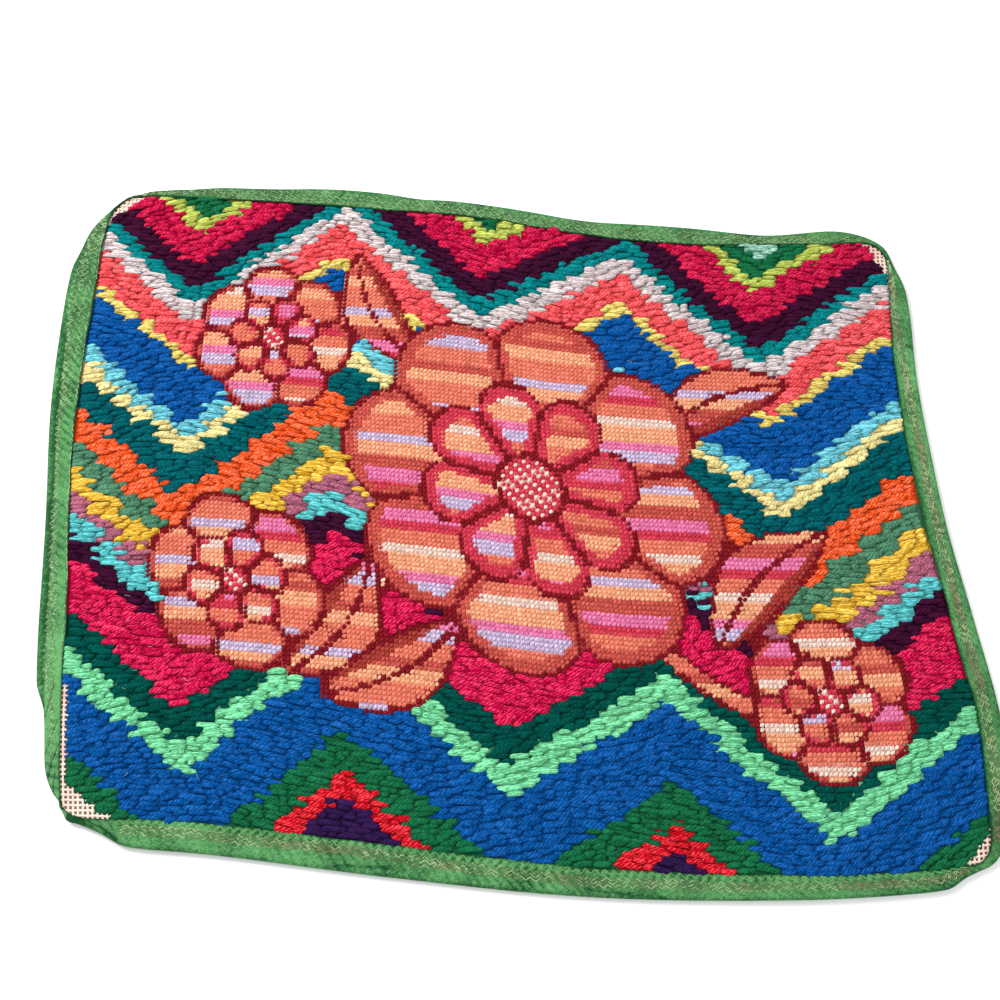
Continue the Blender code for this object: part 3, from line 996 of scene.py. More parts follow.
# %% Filled canvas
FILL_COLUMNS = 95
FILL_ROWS = 73
FILL_TOP = 0.0025
FILL_BOTTOM = 0.0002
MARGIN_THICKNESS = 0.0008
FILL_EDGE = 0.0010
OPEN_MARGIN = 0.3 * HOLE_PITCH
# Painted shade for the gaps between stitches: the share of the wool's colour the sheet keeps on top, in
# the ground and in the motif.
PAINTED_SHADE_IN_GROUND = (0.50,) * 3
PAINTED_SHADE_IN_MOTIF = (0.60,) * 3


def fill_lines(length, cells):
    """Lattice lines across the canvas one way. None stands for the canvas's own edge."""
    return [None, FILL_EDGE, *(length * i / cells for i in range(1, cells)), length - FILL_EDGE, None]


def fill_place(u, v, s, t):
    """Fill in a None with a place on the canvas's edge, which follows the tape's fold from inside."""
    if u is None and v is None:
        u = s * WORKED_WIDTH + (2 * s - 1) * PAST_CORNER
    if v is None:
        return canvas_edge("far" if t else "near", u)
    if u is None:
        return canvas_edge("right" if s else "left", v)
    return round_off(u, v, CANVAS_LINE)


def fill_finish():
    finish = Finish("wool in the canvas with painted gap shade")
    colour = finish.attribute("wool", "Color")
    # Painted shade: on top the sheet is its wool's colour darkened, for the shade between stitches; on
    # the back the floats keep the colour and painted shade lies between them.
    darker = finish.mix(finish.attribute("wool", "Alpha"), PAINTED_SHADE_IN_GROUND, PAINTED_SHADE_IN_MOTIF)
    place = finish.place()
    across = finish.parts(place)[1]
    floats = abs((across * (math.pi / HOLE_PITCH) + finish.noise(place, 60.0) * 0.8).sine())
    fibre = finish.noise(place, 1400.0, 3.0)
    on_the_back = 1 - finish.upwards().step(-0.3, 0.3)
    light = (floats * 0.6 + fibre * 0.5).step(0.1, 0.9) * on_the_back
    dark = finish.node("ShaderNodeMix", {"data_type": "RGBA", "blend_type": "MULTIPLY"},
                       {0: 1.0, 6: colour, 7: darker}, output=2)
    finish.colour(finish.mix(light, dark, colour))
    finish.bump(floats * 0.7 + fibre * 0.3, 0.0006)
    finish.constants(roughness=0.95, specular_ior_level=0.1)
    return finish.material


def make_filled_canvas():
    lines_u, lines_v = fill_lines(WORKED_WIDTH, FILL_COLUMNS), fill_lines(WORKED_DEPTH, FILL_ROWS)
    last_u, last_v = len(lines_u) - 1, len(lines_v) - 1
    sheet = bmesh.new()
    bmesh.ops.create_grid(sheet, x_segments=last_u, y_segments=last_v, size=0.5)
    wall = sheet.verts.layers.deform.verify()
    colour = sheet.loops.layers.float_color.new("wool")
    lattice = {}
    for point in sheet.verts:
        i, j = round((point.co.x + 0.5) * last_u), round((point.co.y + 0.5) * last_v)
        s = (1.0 if i else 0.0) if lines_u[i] is None else lines_u[i] / WORKED_WIDTH
        t = (1.0 if j else 0.0) if lines_v[j] is None else lines_v[j] / WORKED_DEPTH
        u, v = (float(x) for x in fill_place(lines_u[i], lines_v[j], s, t))
        lattice[point] = (u, v)
        in_margin = min(i, last_u - i, j, last_v - j) == 0
        thickness = MARGIN_THICKNESS if in_margin else FILL_TOP - FILL_BOTTOM
        level = CANVAS_LEVEL if in_margin else (FILL_TOP + FILL_BOTTOM) / 2
        point[wall][0] = thickness / (FILL_TOP - FILL_BOTTOM)
        point.co = lay(u, v, level)
    open_faces = []
    for face in sheet.faces:
        u, v = (sum(lattice[point][k] for point in face.verts) / len(face.verts) for k in (0, 1))
        if is_bare(np.clip(u, 0, WORKED_WIDTH), np.clip(v, 0, WORKED_DEPTH), OPEN_MARGIN):
            open_faces.append(face)
        row = min(max(int(v / HOLE_PITCH), 0), HOLE_ROWS - 1)
        column = min(max(int(u / HOLE_PITCH), 0), HOLE_COLUMNS - 1)
        for loop in face.loops:
            loop[colour] = (*WOOLS[WOOL_NAMES[chart[row, column]]], float(motif[row, column]))
    bmesh.ops.delete(sheet, geom=open_faces, context="FACES")
    piece = add_object("filled_canvas", as_mesh("filled_canvas", sheet), fill_finish(), smooth=False)
    piece.vertex_groups.new(name="wall")
    wall = piece.modifiers.new("wall", "SOLIDIFY")
    wall.thickness = FILL_TOP - FILL_BOTTOM
    wall.offset = 0.0
    wall.vertex_group = "wall"
    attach(piece, "root")
    return piece


filled_canvas = make_filled_canvas()
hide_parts("canvas")
print("filled canvas faces:", len(filled_canvas.data.polygons))

# %% [markdown]
# ## Threads as curves
# The bare canvas and the sewing are both threads, and a thread in Blender is a curve with a bevel. One
# helper turns a list of point paths into such a curve and then into a mesh, so that every piece of the
# model ends as plain faces.

# %% Thread helper
def add_threads(name, paths, radius, resolution, material):
    """Tubes along paths, joined as one piece."""
    curve = bpy.data.curves.new(name, "CURVE")
    curve.dimensions = "3D"
    curve.bevel_depth = radius
    curve.bevel_resolution = resolution
    curve.use_fill_caps = True
    for path in paths:
        spline = curve.splines.new("POLY")
        spline.points.add(len(path) - 1)
        spline.points.foreach_set("co", np.hstack([path, np.ones((len(path), 1))]).ravel())
    guide = bpy.data.objects.new("guide", curve)
    bpy.context.scene.collection.objects.link(guide)
    mesh = bpy.data.meshes.new_from_object(guide.evaluated_get(bpy.context.evaluated_depsgraph_get()))
    bpy.data.objects.remove(guide)
    bpy.data.curves.remove(curve)
    tube = bmesh.new()
    tube.from_mesh(mesh)
    bmesh.ops.remove_doubles(tube, verts=tube.verts, dist=0.000001)
    bmesh.ops.recalc_face_normals(tube, faces=tube.faces)
    tube.to_mesh(mesh)
    tube.free()
    mesh.name = name
    piece = add_object(name, mesh, material)
    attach(piece, "root")
    return piece


print("thread helper ready")

# %% [markdown]
# ## The bare canvas in the corners
# Where no wool fills it, the canvas shows for what it is: stiff off-white cotton threads woven over and
# under, with a square hole between every two. A see-through texture would do from far off. Here the
# threads are real tubes that pass over and under each other, so the holes are holes.

# %% Bare canvas
THREAD_RADIUS = 0.00079
THREAD_WEAVE = 0.00022
THREAD_STRAY = 0.00007
BARE_OVERLAP = 1.3 * HOLE_PITCH
OUTSIDE_CELLS = 4
BARE_REACH = {("near", "left"): (14, 32), ("near", "right"): (12, 12),
              ("far", "right"): (12, 14), ("far", "left"): (15, 14)}


def canvas_finish():
    finish = Finish("bare cotton canvas")
    place = finish.place()
    grain = finish.noise(place, 1500.0, 3.0)
    stain = finish.noise(place, 90.0).step(0.42, 0.66)
    clean = finish.mix(grain, linear((206, 186, 170)), linear((242, 228, 212)))
    stained = finish.mix(stain * 0.70, clean, linear((220, 170, 158)))
    # Painted shade: thread faces that look sideways or down are painted dark pinkish brown, so the holes
    # between the threads read dark.
    finish.colour(finish.mix(abs(finish.upwards()).step(0.15, 0.75), linear((118, 70, 66)), stained))
    finish.bump(grain, 0.00012)
    finish.constants(roughness=0.85, specular_ior_level=0.3, sheen_weight=0.1)
    return finish.material


def bare_threads():
    """Paths of the threads that show in the corners, over and under each other, both ways."""
    paths = []
    for name, (reach_u, reach_v) in BARE_REACH.items():
        first_u = HOLE_COLUMNS - reach_u if name[1] == "right" else -OUTSIDE_CELLS
        first_v = HOLE_ROWS - reach_v if name[0] == "far" else -OUTSIDE_CELLS
        for along_u in (True, False):
            lines = reach_v if along_u else reach_u
            first_line, first_cell = (first_v, first_u) if along_u else (first_u, first_v)
            cells = (reach_u if along_u else reach_v) + OUTSIDE_CELLS
            for line in range(first_line, first_line + lines + OUTSIDE_CELLS):
                step = np.arange(2 * cells + 1)
                run = (first_cell + step / 2) * HOLE_PITCH
                off = (line + 0.5) * HOLE_PITCH + rng.normal(0.0, THREAD_STRAY, len(run))
                u, v = (run, off) if along_u else (off, run)
                crossing = first_cell + (step - 1) // 2 + line + (0 if along_u else 1)
                weave = np.where(step % 2 == 1, np.where(crossing % 2 == 0, 1.0, -1.0), 0.0)
                points = lay(u, v, CANVAS_LEVEL + THREAD_WEAVE * weave)
                keep = within(u, v, CANVAS_OUTLINE) & is_bare(u, v, BARE_OVERLAP)
                ends = np.flatnonzero(np.diff(np.concatenate([[0], keep.astype(int), [0]])))
                paths += [points[a:b] for a, b in ends.reshape(-1, 2) if b - a > 2]
    return paths


bare_paths = bare_threads()
bare_canvas = add_threads("bare_canvas", bare_paths, THREAD_RADIUS, 1, canvas_finish())
print("bare threads:", len(bare_paths), "faces:", len(bare_canvas.data.polygons))

# %% [markdown]
# ## The bias tape
# A strip of green cotton, cut on the bias so that it stretches, is folded over the canvas's edge all
# round. It is one strip of grid bent to a narrow U and joined end to end, with a Solidify wall. What
# makes it look sewn are its faults: it puckers along the sewing, drags in slanting creases and hangs
# loose on the left. `relief` adds all of that to the plain strip, and the sewing reads it too, so every
# stitch of it lies on the cloth.

# %% Tape relief
TAPE_THICKNESS = 0.0007
FOLD_RADIUS = 0.00145
LEAF_SETBACK = 0.0015
CREASE_COLUMNS = ("side", "from_along", "from_share", "to_along", "to_share", "wide", "deep")
CREASES = (
    ("left", 0.100, 0.12, 0.073, 0.92, 0.0006, 0.00060),
    ("left", 0.066, 0.35, 0.036, 0.95, 0.0006, 0.00060),
    ("left", 0.080, 0.55, 0.064, 0.95, 0.0005, 0.00040),
    ("left", 0.140, 0.10, 0.112, 0.90, 0.0006, 0.00040),
    ("left", 0.190, 0.35, 0.160, 0.95, 0.0006, 0.00045),
    ("left", 0.175, 0.95, 0.205, 0.74, 0.0008, 0.00070),
    ("left", 0.205, 0.73, 0.450, 0.70, 0.0007, 0.00055),
    ("left", 0.450, 0.70, 0.640, 0.72, 0.0007, 0.00055),
    ("left", 0.640, 0.70, 0.740, 0.76, 0.0007, 0.00045),
    ("right", 0.965, 0.45, 0.940, 0.72, 0.0006, 0.00060),
    ("right", 0.940, 0.72, 0.925, 0.98, 0.0006, 0.00040),
    ("right", 0.790, 0.98, 0.800, 0.70, 0.0007, 0.00050),
    ("right", 0.480, 0.10, 0.620, 0.12, 0.0007, 0.00025),
    ("near", 0.000, 0.00, 0.071, 0.92, 0.0009, 0.00064),
    ("near", 0.012, 0.45, 0.060, 0.98, 0.0005, 0.00030),
    ("near", 0.300, 0.85, 0.360, 0.70, 0.0008, 0.00030),
    ("near", 0.560, 0.75, 0.640, 0.92, 0.0008, 0.00016),
    ("far", 0.160, 0.05, 0.178, 0.60, 0.0007, 0.00040),
    ("far", 0.300, 0.30, 0.320, 0.90, 0.0006, 0.00025),
    ("far", 0.660, 0.25, 0.680, 0.90, 0.0006, 0.00030),
    ("far", 0.940, 0.10, 0.970, 0.90, 0.0006, 0.00035),
)
STEPS = {
    "left": ((0.195, 1.00), (0.21, 0.76), (0.45, 0.72), (0.64, 0.70), (0.74, 0.76), (0.80, 0.86),
             (0.85, 1.05)),
    "near": ((0.000, 0.00), (0.071, 0.95)),
}
STEP_TONES = {
    "left": ((0.25, -0.32), (0.55, -0.20), (0.80, -0.14)),
    "near": ((0.010, -0.60), (0.030, -0.05)),
}
STEP_DROP = 0.00045
STEP_SLOPE = 0.0006
LAP_RISE = 0.0007
LAP_REACH = 0.0015
EDGE_DIP = 0.00030
EDGE_DIP_REACH = 0.0006
FOLD_SLANTS = {"near": -0.9, "right": 0.9, "far": -0.9, "left": -0.9}
# Painted light and shade on the drag folds, by side.
DRAG_FOLD_PAINTED_SHADING = {"near": 0.18, "right": 0.14, "far": 0.14, "left": 0.34}
FOLD_PERIOD = 0.0055
FOLD_HEIGHT = 0.00018
RIPPLE_SLANT = -0.7
RIPPLE_PERIOD = 0.0147
RIPPLE_HEIGHT = 0.00013
# Painted shade: how dark the creases, the wool's shadow beside the inner edge and the fold's edge are
# painted, and how far the last two reach.
FULL_CREASE = 0.0006
CREASE_PAINTED_SHADE = 0.55
WOOL_PAINTED_SHADOW = 0.45
WOOL_REACH = 0.0007
FOLD_EDGE_PAINTED_SHADE = 0.24
FOLD_REACH = 0.0012
TAPE_TONES = {
    "near": ((0.00, 0.16), (0.15, 0.02), (0.50, 0.00), (1.00, -0.04)),
    "right": ((0.00, -0.10), (0.35, 0.02), (0.60, 0.06), (0.85, 0.02), (1.00, -0.06)),
    "far": ((0.00, -0.08), (0.50, -0.04), (1.00, -0.06)),
    "left": ((0.00, 0.18), (0.20, 0.20), (0.50, 0.05), (0.75, -0.08), (1.00, -0.10)),
}


def marks(name, along, share, width):
    """Creases pressed into the tape: how deep they are, at shares along its side and across its face."""
    scale = np.array([SIDE_LENGTHS[name], float(np.mean(width))])
    places = np.stack(np.broadcast_arrays(along, share), -1) * scale
    deep = np.zeros(places.shape[:-1])
    for row in rows_of(name, CREASE_COLUMNS, CREASES):
        start = np.array([row["from_along"], row["from_share"]]) * scale
        run = np.array([row["to_along"], row["to_share"]]) * scale - start
        reach = np.clip((places - start) @ run / (run @ run), 0, 1)
        away = np.linalg.norm(places - start - reach[..., None] * run, axis=-1)
        deep = np.maximum(deep, row["deep"] * np.exp(-(away / row["wide"]) ** 2))
    return deep


def beyond_step(name, along, share, width):
    """1 on the outer parts of the tape that are a lower fold of the cloth, and 0 elsewhere."""
    if name not in STEPS:
        return 0.0 * share * width
    line = between(along, STEPS[name], left=1.1, right=1.1)
    return np.clip((share - line) * width / STEP_SLOPE + 0.5, 0, 1)


def off_the_edges(share):
    """0 on the tape's inner edge and its fold, and 1 over the middle of its face."""
    return np.clip(4 * share * (1 - share) * 1.6, 0, 1)


def drag_folds(name, along, share, width):
    """Small slanting folds that the sewing drags into the cloth, from -1 to 1, strong in some places."""
    s, t = along * SIDE_LENGTHS[name], share * width
    slow = 0.5 + 0.5 * np.sin(s * 41 + 1.3) * np.sin(s * 17 + 0.4)
    wave = np.sin((s + FOLD_SLANTS[name] * t) * 2 * math.pi / FOLD_PERIOD + 1.5 * np.sin(s * 60))
    return (0.4 - 1.4 * ((1 - wave) / 2) ** 3) * slow * off_the_edges(share)


def relief(name, along, share, width):
    """How far the tape's face stands above plain, at shares along its side and across its face."""
    s, t = along * SIDE_LENGTHS[name], share * width
    ripple = np.sin((s + RIPPLE_SLANT * t) * 2 * math.pi / RIPPLE_PERIOD + 2.0 * np.sin(s * 23))
    lapped = lap(name, along)
    rise = LAP_RISE * np.clip(lapped / 0.001, 0, 1) * np.exp(-(t / (lapped + LAP_REACH)) ** 2)
    dip = EDGE_DIP * np.exp(-t / EDGE_DIP_REACH)
    folds = FOLD_HEIGHT * drag_folds(name, along, share, width)
    height = folds + RIPPLE_HEIGHT * ripple * off_the_edges(share) + rise - dip
    return height - marks(name, along, share, width) - STEP_DROP * beyond_step(name, along, share, width)


def tape_shade(name, along, share, width):
    """How much darker or lighter the tape is painted: painted shade in its creases and at its fold's
    edge, the wool's painted shadow beside it, a darker lower fold, painted light and shade on the drag
    folds, and a tone by side.
    """
    painted_crease_shade = CREASE_PAINTED_SHADE * np.clip(marks(name, along, share, width) / FULL_CREASE, 0, 1.2)
    painted_wool_shadow = WOOL_PAINTED_SHADOW * np.exp(-(share * width / WOOL_REACH) ** 2)
    edge = FOLD_EDGE_PAINTED_SHADE * np.exp(-((1 - share) * width / FOLD_REACH) ** 2)
    low = beyond_step(name, along, share, width)
    tone = between(along, TAPE_TONES[name])
    if name in STEP_TONES:
        tone = tone + low * between(along, STEP_TONES[name])
    folds = DRAG_FOLD_PAINTED_SHADING[name] * drag_folds(name, along, share, width)
    return tone + folds - painted_crease_shade - painted_wool_shadow - edge


def on_tape(name, along, share, above):
    """Points in space on the tape's face, a distance above the cloth."""
    inner, outer, width = tape_lines(name, along)
    u, v = (a + (b - a) * share for a, b in zip(inner, outer))
    from_fold = np.clip((1 - share) * width, 0, FOLD_RADIUS)
    drop = FOLD_RADIUS - np.sqrt(FOLD_RADIUS ** 2 - (FOLD_RADIUS - from_fold) ** 2)
    top = CANVAS_LEVEL + FOLD_RADIUS - drop + TAPE_THICKNESS / 2
    return lay(u, v, top + relief(name, along, share, width) + above)


print("creases placed by hand:", len(CREASES))

# %% [markdown]
# The tape was sewn down by machine with a zigzag, more than once and not very straight. Each line of
# the table stands for one row of sewing or a few side by side, and ends with the places that the sewing
# wanders through, as shares of the tape's length and width. The cloth takes a darker, browner tone under
# the rows, partly the colour of the thread packed there and partly a painted shadow of the thread, so the
# table comes before the tape.

# %% Rows of sewing
ZIGZAG_WIDTH = 0.0022
SEWN_REACH = 0.0010
SEWN_TONES = {"near": 0.70, "right": 1.0, "far": 0.48, "left": 0.28}
SEWING_COLUMNS = ("side", "rows", "spacing", "wide", "period", "through")
SEWING = (
    ("left", 1, 0.00, 1.3, 0.0034, ((0.09, 0.50), (0.20, 0.66), (0.45, 0.66), (0.62, 0.62),
                                    (0.985, 0.60))),
    ("left", 1, 0.00, 1.3, 0.0036, ((0.12, 0.42), (0.20, 0.52), (0.36, 0.52), (0.45, 0.60), (0.62, 0.54),
                                    (0.80, 0.44), (0.97, 0.40))),
    ("left", 1, 0.00, 1.4, 0.0038, ((0.19, 0.38), (0.30, 0.36), (0.38, 0.44))),
    ("left", 1, 0.00, 1.4, 0.0038, ((0.62, 0.36), (0.75, 0.26), (0.97, 0.22))),
    ("left", 1, 0.00, 1.2, 0.0038, ((0.62, 0.60), (0.75, 0.72), (0.97, 0.76))),
    ("left", 1, 0.00, 0.35, 0.0034, ((0.22, 0.05), (0.50, 0.04), (0.80, 0.06), (0.97, 0.06))),
    ("far", 1, 0.00, 1.0, 0.0042, ((0.03, 0.45), (0.30, 0.24), (0.60, 0.30), (0.97, 0.30))),
    ("far", 1, 0.00, 1.0, 0.0042, ((0.05, 0.62), (0.35, 0.46), (0.65, 0.48), (0.95, 0.50))),
    ("far", 1, 0.00, 1.0, 0.0042, ((0.12, 0.78), (0.35, 0.68), (0.65, 0.70), (0.90, 0.66))),
    ("far", 1, 0.00, 0.6, 0.0042, ((0.15, 0.12), (0.50, 0.10), (0.93, 0.10))),
    ("right", 4, 0.11, 0.66, 0.0033, ((0.03, 0.44), (0.23, 0.41), (0.37, 0.45), (0.45, 0.47),
                                      (0.50, 0.60), (0.56, 0.57), (0.72, 0.54), (0.80, 0.34),
                                      (0.92, 0.21), (0.97, 0.20))),
    ("right", 1, 0.00, 0.6, 0.0042, ((0.30, 0.44), (0.48, 0.66), (0.60, 0.60), (0.75, 0.50))),
    ("near", 3, 0.125, 0.8, 0.0048, ((0.07, 0.40), (0.18, 0.41), (0.30, 0.32), (0.36, 0.34), (0.46, 0.45),
                                     (0.97, 0.49))),
    ("near", 1, 0.00, 1.0, 0.0040, ((0.24, 0.38), (0.30, 0.30), (0.38, 0.36), (0.45, 0.50))),
)


def sewing_rows():
    """Every row as its side, width, period and line, with the parallel rows side by side."""
    for line in SEWING:
        row = dict(zip(SEWING_COLUMNS, line))
        for i in range(row["rows"]):
            beside = (i - (row["rows"] - 1) / 2) * row["spacing"]
            through = tuple((along, share + beside) for along, share in row["through"])
            yield row["side"], row["wide"], row["period"], through


SEWING_ROWS = tuple(sewing_rows())


def sewn(name, along, share, width):
    """How brown and dark the cloth is painted under the sewing, partly thread colour and partly painted
    thread shadow: a side's tone under a row, and 0 a little way off.
    """
    near = np.zeros(np.broadcast_shapes(np.shape(along), np.shape(share)))
    for side_name, wide, _, through in SEWING_ROWS:
        if side_name == name:
            away = (share - between(along, through)) * width / (SEWN_REACH * wide)
            here = (along > through[0][0]) & (along < through[-1][0])
            near = np.maximum(near, np.where(here, np.exp(-away ** 2), 0.0))
    return near * SEWN_TONES[name]


print("rows of sewing:", len(SEWING_ROWS))

# %% [markdown]
# The strip is built from its stations: where each one is round the panel, and the U of its section
# there. The grid comes with a UV map of the flat strip, which the weave follows round every corner. The
# tape puffs up between the stitches of its sewing, and on the near side the finish bumps those puffs and
# paints their light and shade into the colour.

# %% Tape
STATIONS = (("near", True, 330), ("right", True, 250), ("far", False, 330), ("left", False, 290))
FACE_POINTS = 15
FOLD_POINTS = 4
LEAF_POINTS = 2
TAPE_LENGTH = 1.74
TAPE_CUT = 0.029
LEAST_FACE = 0.35
WEAVE_PITCH = 0.00055
PUFF_PERIOD = 0.0046
PUFFS_START = (0.02, 0.06)
PUFFS_END = (0.42, 0.45)
PUFFS_ACROSS = (0.0055, 0.0075)


def tape_section(width, loose, lapped):
    """Section across the folded tape: shares of the way from its inner edge to its fold, heights from
    the canvas, and how much of the face's relief each point takes."""
    turn = np.maximum(width - FOLD_RADIUS - loose, width * LEAST_FACE)
    section = [(turn / width * i / FACE_POINTS, FOLD_RADIUS, 1.0) for i in range(FACE_POINTS)]
    for i in range(FOLD_POINTS + 2):
        angle = math.pi / 2 - math.pi * i / (FOLD_POINTS + 1)
        out = turn + (width - turn) * math.cos(angle)
        section.append((out / width, FOLD_RADIUS * math.sin(angle), max(math.sin(angle), 0.0)))
    setback = np.minimum(LEAF_SETBACK + lapped, turn / 2)
    for i in range(1, LEAF_POINTS + 1):
        section.append(((turn + (setback - turn) * i / LEAF_POINTS) / width, -FOLD_RADIUS, 0.0))
    return section


def tape_finish():
    finish = Finish("green bias tape")
    along, across, _ = finish.parts(finish.node("ShaderNodeUVMap", {"uv_map": "strip"}))
    along, across = along * TAPE_LENGTH, across * TAPE_CUT
    one_way, other_way = along + across, along - across
    warp = (one_way * (2 * math.pi / WEAVE_PITCH)).sine()
    weft = (other_way * (2 * math.pi / WEAVE_PITCH)).sine()
    streak = finish.noise(finish.vector(one_way * 800.0, other_way * 220.0), 1.0, 3.0)
    cross_streak = finish.noise(finish.vector(other_way * 700.0, one_way * 200.0, 3.0), 1.0, 3.0)
    place = finish.place()
    cloud = finish.noise(place, 60.0, 3.0)
    fuzz = finish.noise(place, 1000.0, 3.0)
    puff = ((along + across * 0.4) * (2 * math.pi / PUFF_PERIOD) + cloud * 2.0).sine()
    puffed = along.step(*PUFFS_START) * (1 - along.step(*PUFFS_END)) * (1 - across.step(*PUFFS_ACROSS))
    # The shade attribute carries the tape's painted shade and light, the puffs add painted light and
    # shade, and cloud, streaks and fuzz vary the cloth's own green.
    light = (cloud * 0.70 + streak * 0.75 + cross_streak * 0.45 + fuzz * 0.50 + warp * weft * 0.08
             + finish.attribute("shade") + puff * puffed * 0.13 - 0.70)
    green = finish.mix(light.step(0.10, 0.95), linear((12, 72, 34)), linear((112, 184, 114)))
    # Under the sewing the cloth goes olive brown: partly the thread's colour and partly its painted
    # shadow.
    seam = finish.attribute("sewn") * fuzz.step(0.25, 0.7) * 0.64
    finish.colour(finish.mix(seam, green, linear((78, 88, 54))))
    finish.bump(warp * 0.25 + weft * 0.25 + fuzz + streak * 1.2 + cross_streak + puff * puffed, 0.00018)
    finish.constants(roughness=0.9, specular_ior_level=0.15, sheen_weight=0.08, sheen_roughness=0.5,
                     sheen_tint=(0.35, 0.8, 0.35, 1.0))
    return finish.material


def make_tape():
    stations = [(name, i / count if forwards else 1 - i / count)
                for name, forwards, count in STATIONS for i in range(count)]
    around, across = len(stations), FACE_POINTS + FOLD_POINTS + 1 + LEAF_POINTS
    places = np.zeros((around, across + 1, 3))
    shades = np.zeros((around, across + 1))
    sewns = np.zeros((around, across + 1))
    for name in SIDES:
        at = np.array([i for i, station in enumerate(stations) if station[0] == name])
        along = np.array([stations[i][1] for i in at])
        inner, outer, width = tape_lines(name, along)
        section = tape_section(width, side(name, along, "loose"), lap(name, along))
        for k, (share, height, takes) in enumerate(section):
            u, v = (a + (b - a) * share for a, b in zip(inner, outer))
            bumps = relief(name, along, share, width) * takes
            places[at, k] = lay(u, v, CANVAS_LEVEL + height + bumps)
            shades[at, k] = tape_shade(name, along, share, width) * takes
            sewns[at, k] = sewn(name, along, share, width) * takes
    strip = bmesh.new()
    strip.loops.layers.uv.new("strip")
    shade = strip.verts.layers.float.new("shade")
    seam = strip.verts.layers.float.new("sewn")
    bmesh.ops.create_grid(strip, x_segments=around, y_segments=across, size=0.5, calc_uvs=True)
    for point in strip.verts:
        i, k = round((point.co.x + 0.5) * around) % around, round((point.co.y + 0.5) * across)
        point.co = places[i, k]
        point[shade] = shades[i, k]
        point[seam] = sewns[i, k]
    bmesh.ops.remove_doubles(strip, verts=strip.verts, dist=0.000005)
    bmesh.ops.recalc_face_normals(strip, faces=strip.faces)
    piece = add_object("bias_tape", as_mesh("bias_tape", strip), tape_finish())
    wall = piece.modifiers.new("wall", "SOLIDIFY")
    wall.thickness = TAPE_THICKNESS
    wall.offset = 0.0
    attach(piece, "root")
    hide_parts("binding")
    return piece


bias_tape = make_tape()
print("tape faces:", len(bias_tape.data.polygons))

# %% [markdown]
# ## The zigzag sewing
# The sewing thread changes from beige to pink and green along its length. It dips into the cloth at every
# turn of the zigzag. A second, green thread goes over the inner edge of the near side and scallops it.

# %% Zigzag sewing
SEWING_RADIUS = 0.00019
SEWING_STRAY = 0.00025
SEWING_WANDER = 0.035
SEWING_LIMITS = (0.02, 0.93)
OVERCAST = ("near", (0.06, 0.97), 0.02, 0.20, 0.0048)


def sewing_finish():
    finish = Finish("variegated sewing thread")
    place = finish.place()
    change = finish.noise(place, 46.0, 1.0)
    turn = finish.noise(place, 420.0)
    x, y, _ = finish.parts(place)
    greener = x.step(-0.235, -0.200) * (1 - y.step(0.140, 0.175))
    pinker = change.step(0.50, 0.58) * x.step(-0.170, -0.130)
    beige_pink = finish.mix(pinker, linear((190, 194, 150)), linear((164, 132, 108)))
    not_green = change.step(0.36, 0.44) * (greener * 0.8 + 0.2)
    colour = finish.mix(not_green, linear((162, 198, 138)), beige_pink)
    finish.colour(finish.mix(turn.step(0.46, 0.56) * 0.9, colour, linear((70, 78, 42))))
    finish.constants(roughness=0.6, specular_ior_level=0.4, sheen_weight=0.2)
    return finish.material


def overcast_finish():
    finish = Finish("green overcast thread")
    tone = finish.noise(finish.place(), 700.0)
    finish.colour(finish.mix(tone, linear((72, 142, 70)), linear((122, 184, 112))))
    finish.constants(roughness=0.6, specular_ior_level=0.4, sheen_weight=0.2)
    return finish.material


def zigzag_steps(name, start, end, period):
    """The turns of a zigzag and the points half way between: their numbers and places along a side."""
    turns = int((end - start) * SIDE_LENGTHS[name] / (period / 2))
    step = np.arange(2 * turns + 1)
    return step, start + (end - start) * (step / (2 * turns))


def zigzag(name, wide, period, through):
    """One row of zigzag: points at every turn and half way between, which arch over the cloth."""
    step, along = zigzag_steps(name, through[0][0], through[-1][0], period)
    along = along + rng.normal(0.0, SEWING_STRAY, len(step)) / SIDE_LENGTHS[name]
    swing = np.where(step % 2 == 1, 0.0, np.where(step % 4 == 0, 1.0, -1.0))
    _, _, width = tape_lines(name, along)
    middle = between(along, through) + SEWING_WANDER * np.sin(along * 37 + len(through))
    share = np.clip(middle + swing * ZIGZAG_WIDTH * wide / 2 / width, *SEWING_LIMITS)
    return on_tape(name, along, share, np.where(step % 2 == 1, SEWING_RADIUS * 0.9, -SEWING_RADIUS * 0.4))


def overcast(name, reach, inner, outer, period):
    """A wide zigzag over the tape's inner edge, which scallops it."""
    step, along = zigzag_steps(name, *reach, period)
    share = np.choose(step % 4, (outer, (inner + outer) / 2, inner, (inner + outer) / 2))
    share = share + rng.normal(0.0, 0.02, len(step)).clip(-0.02, 0.05)
    return on_tape(name, along, share, np.where(step % 2 == 1, SEWING_RADIUS * 1.1, -SEWING_RADIUS * 0.2))


sewing_paths = [zigzag(*row) for row in SEWING_ROWS]
sewing = add_threads("zigzag_sewing", sewing_paths, SEWING_RADIUS, 0, sewing_finish())
overcasting = add_threads("overcast_sewing", [overcast(*OVERCAST)], SEWING_RADIUS * 1.2, 0,
                          overcast_finish())
print("sewing faces:", len(sewing.data.polygons) + len(overcasting.data.polygons))

# %% [markdown]
# ## Lint
# A panel that has been kept in a drawer picks up fluff. Short pale fibres lie on the wool, most of them
# near the left side.

# %% Lint
LINT_COUNT = 34
LINT_RADIUS = 0.00006
LINT_LEVEL = 0.00415
LINT_PATCHES = ((0.10, 0.22, 0.05, 0.12), (0.50, 0.50, 0.28, 0.28))


